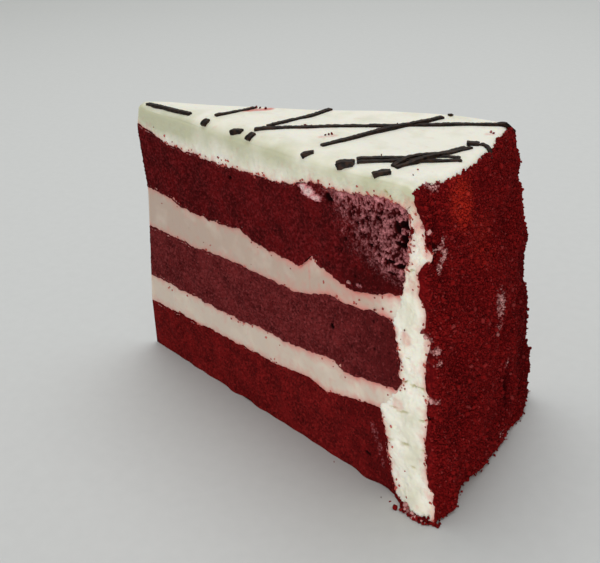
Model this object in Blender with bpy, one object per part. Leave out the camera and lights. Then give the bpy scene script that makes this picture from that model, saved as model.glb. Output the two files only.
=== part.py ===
# A slice of a tall red layer cake. Three sponges lie on two cream fillings, cream icing covers the top
# and the outer side, sponge crumbs are pressed onto that side, and chocolate strands cross the top.
# Metres, +Z up. The origin lies under the middle of the slice, on the surface it stands on, and +X
# runs from the cake's centre, at the slice's tip, out to its round side. The cut face on the -Y side
# is called the near cut, the one on the +Y side the far cut.
import math

import bmesh
import bpy
from mathutils import Vector, noise

WEDGE_ANGLE = math.radians(28.9)    # a twelfth of a round cake, cut by eye
HEIGHT = 0.090                      # to the top of the icing
TIP_RADIUS = 0.0012                 # the tip's nearest point to the cake's centre
SIDE_RADIUS = 0.1287                # the crumbed side's furthest reach from it along +X
GAP = 0.0003                        # between pieces that touch
CORNER_GAP, FOOT_GAP = 0.00045, 0.0009      # round the icing's corner, and beside the lowest sponge

# Upright profiles: (height, distance from the cake's centre)
TIP = ((0.000, TIP_RADIUS), (0.018, TIP_RADIUS), (0.037, 0.0038), (0.060, 0.0066), (0.081, 0.0042),
       (HEIGHT, 0.0065))
SPONGE_EDGE = ((0.000, 0.1150), (0.006, 0.1130), (0.018, 0.1110), (0.026, 0.1092), (0.035, 0.1160),
               (0.045, 0.1150), (0.053, 0.1130), (0.062, 0.1160), (0.076, 0.1188), (0.086, 0.1168))
ICING_EDGE = ((0.0016, 0.1280), (0.007, 0.1272), (0.013, 0.1257), (0.048, 0.1248), (0.058, 0.1238),
              (0.067, 0.1222), (0.078, 0.1230), (0.0875, 0.1213))
ICING_FOOT, ICING_SHOULDER = ICING_EDGE[0][0], ICING_EDGE[-1][0]
TOP_RADIUS = ICING_EDGE[-1][1]

# Icing's top along each cut: (distance from the cake's centre, height). The knife pressed it down
# along the near cut, and it is slightly crowned along the far one.
NEAR_TOP = ((0.000, 0.0884), (0.070, 0.0882), (0.095, 0.0889), (0.106, 0.0893), (0.114, 0.0901))
FAR_TOP = ((0.000, 0.0894), (0.060, 0.0896), (0.085, 0.0907), (0.102, 0.0907), (0.112, 0.0898),
           (TOP_RADIUS, 0.0884))
NEAR_REACH, FAR_REACH = 0.007, 0.022        # how far in from its cut each of them tells

# How far the side's foot is tucked in, by place across: -1 is the near cut, 1 the far cut
FOOT_TUCK = ((-1.00, 0.0000), (-0.82, 0.0006), (-0.66, 0.0044), (-0.40, 0.0038), (-0.10, 0.0034),
             (0.30, 0.0018), (0.50, 0.0010), (0.75, 0.0016), (1.00, 0.0009))
FOOT_TUCK_HEIGHT = 0.016
# How far the icing's foot has slumped out of the cuts: (distance from the cake's centre, depth)
FOOT_SLUMP = ((0.1135, 0.0000), (0.1190, 0.0022), (0.1235, 0.0032), (0.1270, 0.0022), (0.1300, 0.0012))
FOOT_SLUMP_HEIGHT = 0.011
FAR_LEAN = 0.0016                           # the side leans in this much more at the far cut's top,
FAR_LEAN_START = 0.055                      # from this height up
NEAR_CORNER_TUCK = 0.0014                   # the icing's top corner at the near cut is drawn in
SEAM_BLEND = 1.5                            # how fast the seams leave their line along the near cut

# Layers from the table up: name, rows of faces in its cut, and its top along the near cut as
# (distance from the cake's centre, height)
LAYERS = (
    ("sponge_bottom", 5, ((0.002, 0.0168), (0.020, 0.0177), (0.050, 0.0194), (0.069, 0.0200),
                          (0.080, 0.0220), (0.087, 0.0203), (0.093, 0.0218), (0.108, 0.0250))),
    ("cream_lower", 3, ((0.002, 0.0272), (0.018, 0.0278), (0.050, 0.0284), (0.062, 0.0300),
                        (0.072, 0.0296), (0.090, 0.0325), (0.095, 0.0301), (0.116, 0.0348))),
    ("sponge_middle", 5, ((0.005, 0.0464), (0.033, 0.0464), (0.045, 0.0478), (0.078, 0.0480),
                          (0.090, 0.0522), (0.095, 0.0513), (0.110, 0.0534), (0.114, 0.0518))),
    ("cream_upper", 3, ((0.005, 0.0607), (0.014, 0.0607), (0.025, 0.0587), (0.045, 0.0586),
                        (0.053, 0.0602), (0.060, 0.0577), (0.071, 0.0572), (0.079, 0.0566),
                        (0.083, 0.0614), (0.088, 0.0590), (0.099, 0.0562), (0.116, 0.0618))),
    ("sponge_top", 5, ((0.004, 0.0820), (0.020, 0.0783), (0.045, 0.0780), (0.075, 0.0793),
                       (0.085, 0.0825), (0.097, 0.0828), (0.112, 0.0856), (0.118, 0.0842))),
)
SEAM_WAVE = 0.0014          # how far a seam strays from its line towards the far cut
SEAM_WAVE_SIZE = 0.022
SPONGE_CRAG = 0.0010        # relief of a cut sponge
CREAM_CRAG = 0.0003         # relief of cut cream
CRAG_SIZE = 0.0065
CRAG_FADE = 0.020           # the relief fades out over this last stretch to the tip

EDGE_ROUND = 0.0008         # the icing's top edges at the cuts
SHOULDER_ROUND = 0.0030     # how far in from its side the icing's top turns down
CORNER_IN, CORNER_DOWN = SHOULDER_ROUND / 3, SHOULDER_ROUND / 6     # where the middle of that bend lies
TOP_WAVE = 0.0004
TOP_WAVE_SIZE = 0.030

COAT_MIN, COAT_MAX = 0.0008, 0.0030     # thickness of the crumb coat
COAT_THIN_START, COAT_THIN_END = 0.066, 0.078       # between these heights it thins out
COAT_THIN_SHARE = 0.6
COAT_LUMP = 0.011                       # size of its lumps
COAT_LEVEL = 0.55                       # share of the thickness where there is neither lump nor hollow
COAT_FOOT = 0.0013                      # its crumbs reach this thick under the icing
# Level bulges and dents in the side at the far cut: (height, how much thicker the coat is)
COAT_RELIEF = ((0.0000, -0.0005), (0.0040, 0.0007), (0.0070, 0.0000), (0.0100, 0.0013), (0.0165, 0.0013),
               (0.0205, -0.0005), (0.0240, -0.0001), (0.0300, 0.0009), (0.0350, 0.0003),
               (0.0390, -0.0008), (0.0415, -0.0018), (0.0450, -0.0004), (0.0580, 0.0000),
               (0.0640, 0.0013), (0.0700, 0.0021), (0.0735, 0.0003), (0.0770, 0.0009), (0.0810, -0.0003),
               (0.0875, 0.0000))

BROAD, THIN, CURL = 0.0023, 0.0016, 0.0012          # widths of the strands
STRAND_HEIGHT, STRAND_SINK = 0.0009, 0.0007
# A strand's section from its left foot to its right: (share of its width, share of its height)
STRAND_SECTION = ((-0.50, 0.55), (-0.28, 1.00), (0.28, 1.00), (0.50, 0.55))
STRAND_STEP = 0.004
# Strands as seen from above: start, end, how far the middle bows to the left, and width. The short
# ones are the ends that the knife broke off at the near cut.
STRANDS = (
    ((0.0560, -0.0105), (0.1168, 0.0224), 0.0028, THIN),
    ((0.0502, -0.0120), (0.0530, -0.0104), 0.0000, BROAD),
    ((0.0790, -0.0125), (0.0965, 0.0230), 0.0000, THIN),
    ((0.0783, -0.0194), (0.0800, -0.0152), 0.0000, BROAD),
    ((0.0940, -0.0188), (0.1165, -0.0079), 0.0000, BROAD),
    ((0.0905, -0.0220), (0.0936, -0.0196), 0.0000, BROAD),
    ((0.1048, -0.0198), (0.1138, 0.0022), 0.0000, BROAD),
    ((0.1026, -0.0252), (0.1044, -0.0210), 0.0000, BROAD),
    ((0.1130, 0.0043), (0.1172, 0.0054), 0.0000, BROAD),
    ((0.1172, 0.0050), (0.1184, 0.0012), 0.0006, CURL),
    ((0.0590, -0.0065), (0.0664, 0.0160), -0.0008, THIN),
    ((0.0580, -0.0140), (0.0586, -0.0106), 0.0000, BROAD),
    ((0.0392, -0.0048), (0.0440, 0.0094), -0.0006, THIN),
    ((0.0384, -0.0090), (0.0389, -0.0066), 0.0000, BROAD),
    ((0.0090, -0.0004), (0.0305, -0.0052), -0.0004, THIN),
)

COLUMNS = 30                                            # faces from the tip out to the side
SIDEWAYS = (-1.0, -0.82, -0.66, -0.2, 0.3, 0.75, 1.0)   # columns from the near cut to the far cut
ICING_ROWS = 3                                          # faces through the icing's thickness
CENTRE_X = -(SIDE_RADIUS + TIP_RADIUS) / 2          # where the cake's centre lies

# name: sRGB colour as a hex value, roughness
COLOURS = {
    "sponge": ("#5E1218", 0.90),
    "cream": ("#E6E3CF", 0.45),
    "crumbs": ("#5A0206", 0.90),
    "chocolate": ("#2A1C16", 0.40),
}


def blend(a, b, share):
    return a + (b - a) * share


def along(profile, place):
    """Read a profile of (place, value) points, straight between its points and level past its ends."""
    if place <= profile[0][0]:
        return profile[0][1]
    for (low, start), (high, end) in zip(profile, profile[1:]):
        if place <= high:
            return blend(start, end, (place - low) / (high - low))
    return profile[-1][1]


def waves(size, seed, *place):
    """Smooth noise between -1 and 1 whose bumps are about `size` across."""
    x, y, z = (list(place) + [0.0, 0.0])[:3]
    return noise.noise(Vector((x / size + 17.3 * seed, y / size, z / size)))


def on_plan(radius, sideways, height):
    angle = sideways * WEDGE_ANGLE / 2
    return Vector((CENTRE_X + radius * math.cos(angle), radius * math.sin(angle), height))


def cut_normal(sideways):
    """The way a cut face looks: -Y side for -1, +Y side for +1."""
    angle = sideways * (WEDGE_ANGLE / 2 + math.pi / 2)
    return Vector((math.cos(angle), math.sin(angle), 0.0))


def crag(depth, radius, height, sideways):
    """Relief of a cut face, which fades out where the slice narrows to its tip."""
    fade = min(1.0, radius / CRAG_FADE) ** 2
    return cut_normal(sideways) * depth * fade * waves(CRAG_SIZE, 3 + sideways, radius, height)


def seam_height(seam, column, side):
    """Height of seam number `seam`: 0 is the table, 1 the top of the first layer, and so on."""
    if seam == 0:
        return 0.0
    profile = LAYERS[seam - 1][2]
    middle = profile[len(profile) // 2][1]
    radius = blend(along(TIP, middle), along(SPONGE_EDGE, middle), column / COLUMNS)
    sideways = SIDEWAYS[side]
    near = ((1 - sideways) / 2) ** SEAM_BLEND
    straight = blend(profile[0][1], profile[-1][1], radius / profile[-1][0])
    wave = SEAM_WAVE * waves(SEAM_WAVE_SIZE, seam, radius, sideways * SEAM_WAVE_SIZE)
    return blend(straight + wave, along(profile, radius), near)


def slumped(place, sideways):
    """Move a point of a cut out by the slump of its foot."""
    if abs(sideways) == 1:
        radius = math.hypot(place.x - CENTRE_X, place.y)
        fade = max(0.0, 1 - place.z / FOOT_SLUMP_HEIGHT) ** 2
        place += cut_normal(sideways) * along(FOOT_SLUMP, radius) * fade
    return place


def stack_point(column, side, height, crag_depth):
    """A point of the layers: column 0 is the tip, the last column the end under the side's icing."""
    radius = blend(along(TIP, height), along(SPONGE_EDGE, height), column / COLUMNS)
    sideways = SIDEWAYS[side]
    place = on_plan(radius, sideways, height)
    if abs(sideways) == 1:
        place += crag(crag_depth, radius, height, sideways)
    return place


def make_material(name):
    colour, roughness = COLOURS[name]
    channels = [int(colour[i:i + 2], 16) / 255 for i in (1, 3, 5)]
    linear = [c / 12.92 if c <= 0.04045 else ((c + 0.055) / 1.055) ** 2.4 for c in channels]
    material = bpy.data.materials.new(name)
    material.use_nodes = True
    shader = material.node_tree.nodes["Principled BSDF"]
    shader.inputs["Base Color"].default_value = (*linear, 1.0)
    shader.inputs["Roughness"].default_value = roughness
    shader.inputs["Metallic"].default_value = 0.0
    material.diffuse_color = (*linear, 1.0)
    return material


def add_object(name, bm, material):
    bmesh.ops.recalc_face_normals(bm, faces=bm.faces)
    mesh = bpy.data.meshes.new(name)
    bm.to_mesh(mesh)
    bm.free()
    mesh.materials.append(material)
    obj = bpy.data.objects.new(name, mesh)
    bpy.context.scene.collection.objects.link(obj)
    return obj


def make_block(name, point, cells, material):
    """Skin a bent block of cells[0] x cells[1] x cells[2] cells, whose corners point(i, j, k) places.
    The two sheets that face each other are split along the same diagonals, so that neighbours in
    the stack keep an even gap."""
    bm = bmesh.new()
    corners = {}

    def corner(*place):
        if place not in corners:
            corners[place] = bm.verts.new(point(*place))
        return corners[place]

    for axis in range(3):
        first, second = [other for other in range(3) if other != axis]
        for end in (0, cells[axis]):
            for a in range(cells[first]):
                for b in range(cells[second]):
                    quad = []
                    for step_a, step_b in ((0, 0), (1, 0), (1, 1), (0, 1)):
                        place = [end, end, end]
                        place[first], place[second] = a + step_a, b + step_b
                        quad.append(corner(*place))
                    bm.faces.new((quad[0], quad[1], quad[2]))
                    bm.faces.new((quad[0], quad[2], quad[3]))
    return add_object(name, bm, material)


def make_layer(number, material):
    """Layer `number`, counted from 1 at the table, between its two seams."""
    name, rows, _ = LAYERS[number - 1]
    depth = SPONGE_CRAG if name.startswith("sponge") else CREAM_CRAG

    def point(column, side, row):
        low, high = seam_height(number - 1, column, side), seam_height(number, column, side)
        on_seam = row in (0, rows)
        place = stack_point(column, side, blend(low, high, row / rows), CREAM_CRAG if on_seam else depth)
        if row == 0 and number > 1:
            place.z += GAP / 2
        if row == rows:
            place.z -= GAP / 2
        if column == COLUMNS:
            outward = Vector((place.x - CENTRE_X, place.y, 0.0)).normalized()
            place -= outward * GAP
        return place

    return make_block(name, point, (COLUMNS, len(SIDEWAYS) - 1, rows), material)


def end_heights(side):
    """Heights of the rows at the layers' outer ends, from the top seam down to the icing's foot."""
    heights = [seam_height(len(LAYERS), COLUMNS, side)]
    for number in range(len(LAYERS), 0, -1):
        rows = LAYERS[number - 1][1]
        low, high = (seam_height(n, COLUMNS, side) for n in (number - 1, number))
        heights += [blend(high, low, row / rows) for row in range(1, rows + 1)]
    heights[-1] = ICING_FOOT
    return heights


SIDE_ROWS = sum(rows for _, rows, _ in LAYERS)
FOOT_ROWS = 2                               # of the crumbs, under the icing's foot


def icing_side_height(row):
    """Height of a row on the icing's outer side: row 1 is its shoulder, the last its foot."""
    return blend(ICING_SHOULDER, ICING_FOOT, (row - 1) / (SIDE_ROWS - 1))


def top_height(radius, sideways):
    """The icing's top: spread nearly flat, and changed near each cut."""
    height = HEIGHT + TOP_WAVE * (waves(TOP_WAVE_SIZE, 9, radius, sideways * TOP_WAVE_SIZE) - 0.5)
    for side, profile, reach in ((-1, NEAR_TOP, NEAR_REACH), (1, FAR_TOP, FAR_REACH)):
        to_cut = radius * math.sin((1 - side * sideways) * WEDGE_ANGLE / 2)
        height += (along(profile, radius) - HEIGHT) * max(0.0, 1 - to_cut / reach) ** 2
    return height


def icing_radius(height, sideways):
    """The icing's outer side, from its foot up to its shoulder."""
    near, far = (1 - sideways) / 2, (1 + sideways) / 2
    rise = max(0.0, (height - FAR_LEAN_START) / (ICING_SHOULDER - FAR_LEAN_START))
    radius = along(ICING_EDGE, height)
    radius -= along(FOOT_TUCK, sideways) * max(0.0, 1 - height / FOOT_TUCK_HEIGHT)
    radius -= FAR_LEAN * far * min(1.0, 2 * rise)
    return radius - NEAR_CORNER_TUCK * near ** 6 * rise ** 4


def icing_corner(sideways):
    """The middle of the round between the icing's top and its side."""
    radius = icing_radius(ICING_SHOULDER, sideways) - CORNER_IN
    return radius, sideways, top_height(radius, sideways) - CORNER_DOWN


def make_icing(material):
    """The icing over the top and down the side, as one bent sheet."""

    def outer_point(column, side):
        sideways = SIDEWAYS[side]
        if column > COLUMNS:
            height = icing_side_height(column - COLUMNS)
            return slumped(on_plan(icing_radius(height, sideways), sideways, height), sideways)
        shoulder = icing_radius(ICING_SHOULDER, sideways)
        if column == COLUMNS:
            radius, _, height = icing_corner(sideways)
        else:
            share = column / (COLUMNS - 1)
            radius = blend(along(TIP, HEIGHT), shoulder - SHOULDER_ROUND, share)
            height = top_height(radius, sideways)
        place = on_plan(radius, sideways, height)
        if abs(sideways) == 1:
            inward = EDGE_ROUND * min(1.0, radius / CRAG_FADE)
            place -= cut_normal(sideways) * inward
            place.z -= inward
        return place

    def point(column, side, row):
        if column <= COLUMNS:
            inner = stack_point(column, side, seam_height(len(LAYERS), column, side), CREAM_CRAG)
            inner.z += GAP / 2
        else:
            inner = stack_point(COLUMNS, side, end_heights(side)[column - COLUMNS], CREAM_CRAG)
        if row == 0:
            return inner
        place = inner.lerp(outer_point(column, side), row / ICING_ROWS)
        if 0 < row < ICING_ROWS and abs(SIDEWAYS[side]) == 1:
            radius = math.hypot(place.x - CENTRE_X, place.y)
            place += crag(CREAM_CRAG, radius, place.z, SIDEWAYS[side])
            if column > COLUMNS:
                place = slumped(place, SIDEWAYS[side])
        return place

    return make_block("frosting", point, (COLUMNS + SIDE_ROWS, len(SIDEWAYS) - 1, ICING_ROWS), material)


def make_strand(start, end, bow, width, material):
    """A flat ribbon of set chocolate, pressed a little into the icing's top."""
    start, end = Vector(start), Vector(end)
    run = end - start
    left = Vector((-run.y, run.x)).normalized()
    steps = max(2, round(run.length / STRAND_STEP))
    upper = [(across, up * STRAND_HEIGHT) for across, up in STRAND_SECTION]
    section = [(upper[0][0], -STRAND_SINK), *upper, (upper[-1][0], -STRAND_SINK)]
    bm = bmesh.new()
    rings = []
    for step in range(steps + 1):
        share = step / steps
        middle = start + run * share + left * bow * 4 * share * (1 - share)
        radius = middle.length
        sideways = math.atan2(middle.y, middle.x) / (WEDGE_ANGLE / 2)
        height = top_height(radius, sideways)
        ring = []
        for across, up in section:
            place = middle + left * across * width
            ring.append(bm.verts.new((place.x + CENTRE_X, place.y, height + up)))
        rings.append(ring)
    for one, two in zip(rings, rings[1:]):
        for n in range(len(section)):
            m = (n + 1) % len(section)
            bm.faces.new((one[n], one[m], two[m], two[n]))
    bm.faces.new(rings[0])
    bm.faces.new(rings[-1])
    return add_object("strand", bm, material)


def fuse(obj, pieces):
    """Union every piece into obj, and remove the pieces."""
    collection = bpy.data.collections.new("pieces")
    bpy.context.scene.collection.children.link(collection)
    for piece in pieces:
        collection.objects.link(piece)
    union = obj.modifiers.new("union", "BOOLEAN")
    union.operation = "UNION"
    union.operand_type = "COLLECTION"
    union.collection = collection
    union.solver = "EXACT"
    bpy.context.view_layer.update()
    evaluated = obj.evaluated_get(bpy.context.evaluated_depsgraph_get())
    obj.data = bpy.data.meshes.new_from_object(evaluated)
    obj.modifiers.clear()
    for piece in pieces:
        bpy.data.objects.remove(piece)
    bpy.data.collections.remove(collection)


def coat_thickness(radius, sideways, height):
    """Lumpy, thinner towards the top, with level bulges and dents towards the far cut."""
    lump = COAT_LEVEL + waves(COAT_LUMP, 5, sideways * WEDGE_ANGLE / 2 * radius, height)
    thinned = max(0.0, min(1.0, (height - COAT_THIN_START) / (COAT_THIN_END - COAT_THIN_START)))
    most = blend(COAT_MAX, COAT_THIN_SHARE * COAT_MAX, thinned)
    thickness = blend(COAT_MIN, most, max(0.0, min(1.0, lump)))
    return max(COAT_MIN, thickness + along(COAT_RELIEF, height) * max(0.0, sideways) ** 2)


def make_coat(material):
    """The crumbs on the side: a lumpy shell that hooks over the icing's edge and under its foot.
    It has two columns to each column of the icing, and lies evenly on the icing's faces."""
    columns = 2 * (len(SIDEWAYS) - 1)
    foot_start = SPONGE_EDGE[0][1] + FOOT_GAP

    def on_icing(side, place):
        """A point of the icing's skin that a function of `sideways` gives, at a coat column."""
        low, high = (slumped(on_plan(*place(s)), s) for s in (SIDEWAYS[side // 2], SIDEWAYS[(side + 1) // 2]))
        return low.lerp(high, 0.5)

    def outward(place):
        return Vector((place.x - CENTRE_X, place.y, 0.0)).normalized()

    def point(row, side, layer):
        """Rows run from the foot's inner end out, up the side, and onto the top's edge."""
        sideways = blend(SIDEWAYS[side // 2], SIDEWAYS[(side + 1) // 2], 0.5)
        if row <= FOOT_ROWS:
            edge = on_icing(side, lambda s: (icing_radius(ICING_FOOT, s), s, 0.0))
            foot_end = math.hypot(edge.x - CENTRE_X, edge.y) + GAP + layer * COAT_MIN
            radius = blend(foot_start, foot_end, row / FOOT_ROWS)
            return slumped(on_plan(radius, sideways, COAT_FOOT * (1 - layer)), sideways)
        if row == FOOT_ROWS + SIDE_ROWS:
            place = on_icing(side, icing_corner) + outward(on_plan(1.0, sideways, 0.0)) * CORNER_GAP
            return place + outward(place) * COAT_MIN * layer + Vector((0, 0, GAP)) * (1 + layer)
        height = icing_side_height(FOOT_ROWS + SIDE_ROWS - row)
        place = on_icing(side, lambda s: (icing_radius(height, s), s, height))
        radius = math.hypot(place.x - CENTRE_X, place.y)
        return place + outward(place) * (GAP + layer * coat_thickness(radius, sideways, height))

    return make_block("crumb_coat", point, (FOOT_ROWS + SIDE_ROWS, columns, 1), material)


def build():
    for obj in list(bpy.data.objects):
        bpy.data.objects.remove(obj)
    materials = {name: make_material(name) for name in COLOURS}
    for number, (name, _, _) in enumerate(LAYERS, start=1):
        make_layer(number, materials[name.split("_")[0]])
    icing = make_icing(materials["cream"])
    fuse(icing, [make_strand(*strand, materials["chocolate"]) for strand in STRANDS])
    make_coat(materials["crumbs"])
    for obj in bpy.data.objects:
        obj.data.shade_smooth()
        obj.data.set_sharp_from_angle(angle=math.radians(40))


build()
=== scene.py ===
# A slice of red velvet cake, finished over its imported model. Metres, +Z up. +X runs from the cake's centre,
# at the slice's tip, out to the crumbed side. "sideways" is -1 on the near cut, which faces -Y, and 1 on the
# far cut.
import math
from functools import partial

import bpy
import numpy as np
from mathutils import Matrix, Vector, noise


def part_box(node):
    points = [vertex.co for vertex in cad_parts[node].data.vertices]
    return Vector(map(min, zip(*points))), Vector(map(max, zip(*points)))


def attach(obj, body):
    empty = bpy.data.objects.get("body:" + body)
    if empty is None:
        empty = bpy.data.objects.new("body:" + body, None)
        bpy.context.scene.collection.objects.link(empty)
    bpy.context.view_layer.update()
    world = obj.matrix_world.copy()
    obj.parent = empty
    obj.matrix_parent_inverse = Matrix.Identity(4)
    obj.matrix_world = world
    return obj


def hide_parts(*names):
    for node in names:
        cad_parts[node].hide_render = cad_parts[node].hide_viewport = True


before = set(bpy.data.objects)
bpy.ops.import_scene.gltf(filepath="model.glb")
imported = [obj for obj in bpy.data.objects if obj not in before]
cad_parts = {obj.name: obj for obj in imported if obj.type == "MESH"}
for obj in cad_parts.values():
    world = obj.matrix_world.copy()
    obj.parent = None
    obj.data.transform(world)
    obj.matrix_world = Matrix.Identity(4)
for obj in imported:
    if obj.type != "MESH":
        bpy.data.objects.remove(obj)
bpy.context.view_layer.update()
print("frame loaded,", len(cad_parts), "nodes")


def metres(*rows):
    # rows of numbers in mm
    return np.array(rows) / 1000


# The slice's own shape. Profiles are (height, distance from the cake's centre) unless a note says otherwise.
cake = {
    "wedgeAngle": math.radians(28.9),
    "top": 0.090,
    "tip": metres((0, 1.2), (18, 1.2), (37, 3.8), (60, 6.6), (81, 4.2), (90, 6.5)),
    "spongeEdge": metres((0, 115), (6, 112.8), (18, 110.4), (26, 108.7), (35, 115.8), (45, 114.7), (53, 113),
                         (60, 115.6), (68, 117.6), (74, 118.2), (79, 119.2), (83, 118), (86, 116.4)),
    "icingEdge": metres((1.6, 128), (7, 127.2), (13, 125.7), (48, 124.8), (58, 123.8), (67, 122.2), (78, 123),
                        (87.5, 121.3)),
    # the same right at the near cut, where it is uneven
    "nearBorder": metres((1.6, 128.6), (4.5, 128.6), (6.2, 127.4), (8.4, 127.6), (9.4, 125.8), (12.5, 124.8),
                         (16.5, 125), (21.5, 124.3), (27.5, 124.8), (29.5, 125.2), (31, 124.5), (35, 125),
                         (36.5, 125.7), (38, 124.6), (39.5, 124), (46.5, 124.2), (49, 125), (51.5, 125.6),
                         (52.8, 125), (54, 122.8), (56, 124), (59.5, 123.9), (62, 123), (63.2, 121.3),
                         (66.5, 122.1), (68, 121.2), (69.7, 121.6), (71.8, 123), (73.5, 125.2), (75.8, 125.5),
                         (76.8, 123.4), (79.4, 123.2), (80.8, 123.8), (82.2, 122.9), (83.5, 121.7),
                         (85, 121.1), (86.5, 120.4), (87.5, 119.8)),
    "nearBorderReach": 0.004,
    # top of the icing along each cut: (distance from the cake's centre, height)
    "nearTop": metres((0, 88.4), (70, 88.2), (95, 88.9), (106, 89.3), (114, 90.1)),
    "farTop": metres((0, 89.4), (60, 89.6), (85, 90.7), (102, 90.7), (112, 89.8), (121.3, 88.4)),
    "nearReach": 0.007,         # how far in from its cut each of the two tells
    "farReach": 0.022,
    # the side's foot is drawn in by this profile of (sideways, depth in mm)
    "footTuck": [(-1.0, 0), (-0.82, 0.6), (-0.66, 4.4), (-0.4, 3.8), (-0.1, 3.4), (0.3, 1.8), (0.5, 1),
                 (0.75, 1.6), (1.0, 0.9)],
    "footTuckHeight": 0.016,
    # and the icing's foot has slumped out of the cuts: (distance from the cake's centre, depth)
    "footSlump": metres((113.5, 0), (119, 2.2), (123.5, 3.2), (127, 2.2), (130, 1.2)),
    "footSlumpHeight": 0.011,
    "footSlumpReach": 0.005,
    "footDrop": 0.0010,         # the icing comes this much lower at the cuts
    "footDropHeight": 0.004,
    "footDropReach": 0.002,
    "footDropUneven": 0.4,
    "footDropWave": 0.0016,
    "farLean": 0.0016,
    "farLeanStart": 0.055,
    "nearCornerTuck": 0.0014,
    "topWave": 0.0004,
    "topWaveSize": 0.030,
    "seamBlend": 1.5,           # how fast the seams leave their line along the near cut
    "seamWave": 0.0014,
    "seamWaveSize": 0.022,
    "sideRadius": 0.125,        # about where the crumbed side is
}
halfAngle = cake["wedgeAngle"] / 2
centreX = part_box("sponge_bottom")[0].x - cake["tip"][0][1] * math.cos(halfAngle)
icingFoot, icingShoulder = cake["icingEdge"][0][0], cake["icingEdge"][-1][0]


def read(profile, place, blur=0.0):
    # values of a profile of (place, value) pairs, with its corners rounded over `blur`
    places, values = np.array(profile).T
    shifts = np.linspace(-blur, blur, 5) if blur else [0.0]
    return np.mean([np.interp(place + shift, places, values) for shift in shifts], axis=0)


def waves(size, seed, *place):
    # smooth noise from about -1 to 1, with bumps `size` across, for whole arrays of places
    x, y, z = np.broadcast_arrays(*place, *[0.0] * (3 - len(place)))
    spots = zip((x / size + 17.3 * seed).ravel(), (y / size).ravel(), (z / size).ravel())
    return np.array([noise.noise(spot) for spot in spots]).reshape(x.shape)


def ease(low, high, value):
    # 0 below low, 1 above high and soft between
    share = np.clip((value - low) / (high - low), 0.0, 1.0)
    return share * share * (3 - 2 * share)


def mix(a, b, share):
    return a + (b - a) * share


def fading(distance, reach):
    # 1 at nought, and straight down to 0 at the reach
    return np.maximum(0.0, 1 - distance / reach)


def fromCut(radius, towards):
    # how far a place is from a cut: `towards` is 1 on it, and 0 on the slice's middle line
    return radius * np.sin((1 - towards) * halfAngle)


def onPlan(radius, sideways, height):
    angle = sideways * halfAngle
    return np.stack(np.broadcast_arrays(centreX + radius * np.cos(angle), radius * np.sin(angle), height), -1)


def cutNormal(sideways):
    # the way a cut faces, for sideways of -1 or 1, and nothing in between
    angle = sideways * (halfAngle + math.pi / 2)
    onCut = (np.abs(sideways) == 1)[..., None]
    return np.stack([np.cos(angle), np.sin(angle), np.zeros_like(angle)], -1) * onCut


def slump(radius, sideways, height):
    # how the slumped foot moves points that lie near a cut
    depth = read(cake["footSlump"], radius, blur=0.0015) * fading(height, cake["footSlumpHeight"]) ** 2
    depth = depth * fading(fromCut(radius, np.abs(sideways)), cake["footSlumpReach"])
    return cutNormal(np.where(sideways < 0, -1, 1)) * depth[:, None]


def drop(sideways, height):
    # how much lower the icing's foot is near a cut
    toCut = fromCut(cake["spongeEdge"][0][1], np.abs(sideways))
    share = fading(toCut, cake["footDropReach"]) * fading(height - icingFoot, cake["footDropHeight"])
    uneven = cake["footDropUneven"] * waves(cake["footDropWave"], 64, height, sideways)
    return cake["footDrop"] * share * (1 + uneven)


def cutSpot(radius, sideways, z, spot, soft, wobble=0.0):
    # 1 in an oval spot on the near cut and 0 outside: (distance from the centre, height, reach along, reach
    # up) in mm. Its edge is soft between two shares of its reach
    along, height, wide, tall = spot
    apart = np.hypot((radius * 1000 - along) / wide, (z * 1000 - height) / tall) + wobble
    return (1 - ease(*soft, apart)) * (sideways == -1)


def sideSpot(sideways, z, spot, soft, wobble=0.0):
    # the same on the crumbed side: (sideways, height, reach across, reach up), all but the first in mm
    at, height, wide, tall = spot
    across = (sideways - at) * halfAngle * cake["sideRadius"] * 1000
    return 1 - ease(*soft, np.hypot(across / wide, (z * 1000 - height) / tall) + wobble)


def toLine(x, y, ends):
    # how far along a line between two ends each place is, as a share, and how far beside it both ways
    (x0, y0), (x1, y1) = ends
    run = np.array([x1 - x0, y1 - y0])
    share = np.clip(((x - x0) * run[0] + (y - y0) * run[1]) / (run @ run), 0, 1)
    return share, x - x0 - share * run[0], y - y0 - share * run[1]


def skinBlock(cells):
    # lattice numbers of a block's outer points, and the faces between them, which all look outwards
    numbers = np.indices([n + 1 for n in cells])
    outer = np.zeros(numbers.shape[1:], bool)
    outer[[0, -1]] = outer[:, [0, -1]] = outer[:, :, [0, -1]] = True
    ids = np.full(outer.shape, -1)
    ids[outer] = np.arange(outer.sum())
    faces = []
    for axis in range(3):
        for end in (0, -1):
            sheet = np.take(ids, end, axis=axis)
            quads = np.stack([sheet[:-1, :-1], sheet[1:, :-1], sheet[1:, 1:], sheet[:-1, 1:]], -1)
            quads = quads.reshape(-1, 4)
            faces.append(quads[:, ::-1] if (end == 0) != (axis == 1) else quads)
    return *(number[outer] for number in numbers), np.concatenate(faces)


def addMesh(name, points, faces, **attributes):
    mesh = bpy.data.meshes.new(name)
    mesh.from_pydata(points, [], faces)
    for key, values in attributes.items():
        kind, field = ("FLOAT_VECTOR", "vector") if values.ndim == 2 else ("FLOAT", "value")
        mesh.attributes.new(key, kind, "POINT").data.foreach_set(field, values.astype(np.float32).ravel())
    mesh.shade_smooth()
    return addObject(name, mesh)


def addObject(name, data):
    made = bpy.data.objects.new(name, data)
    bpy.context.scene.collection.objects.link(made)
    return made


def linear(colour):
    # an sRGB hex colour as linear red, green, blue and 1
    channels = [int(colour[i:i + 2], 16) / 255 for i in (1, 3, 5)]
    return (*[c / 12.92 if c <= 0.04045 else ((c + 0.055) / 1.055) ** 2.4 for c in channels], 1.0)


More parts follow.
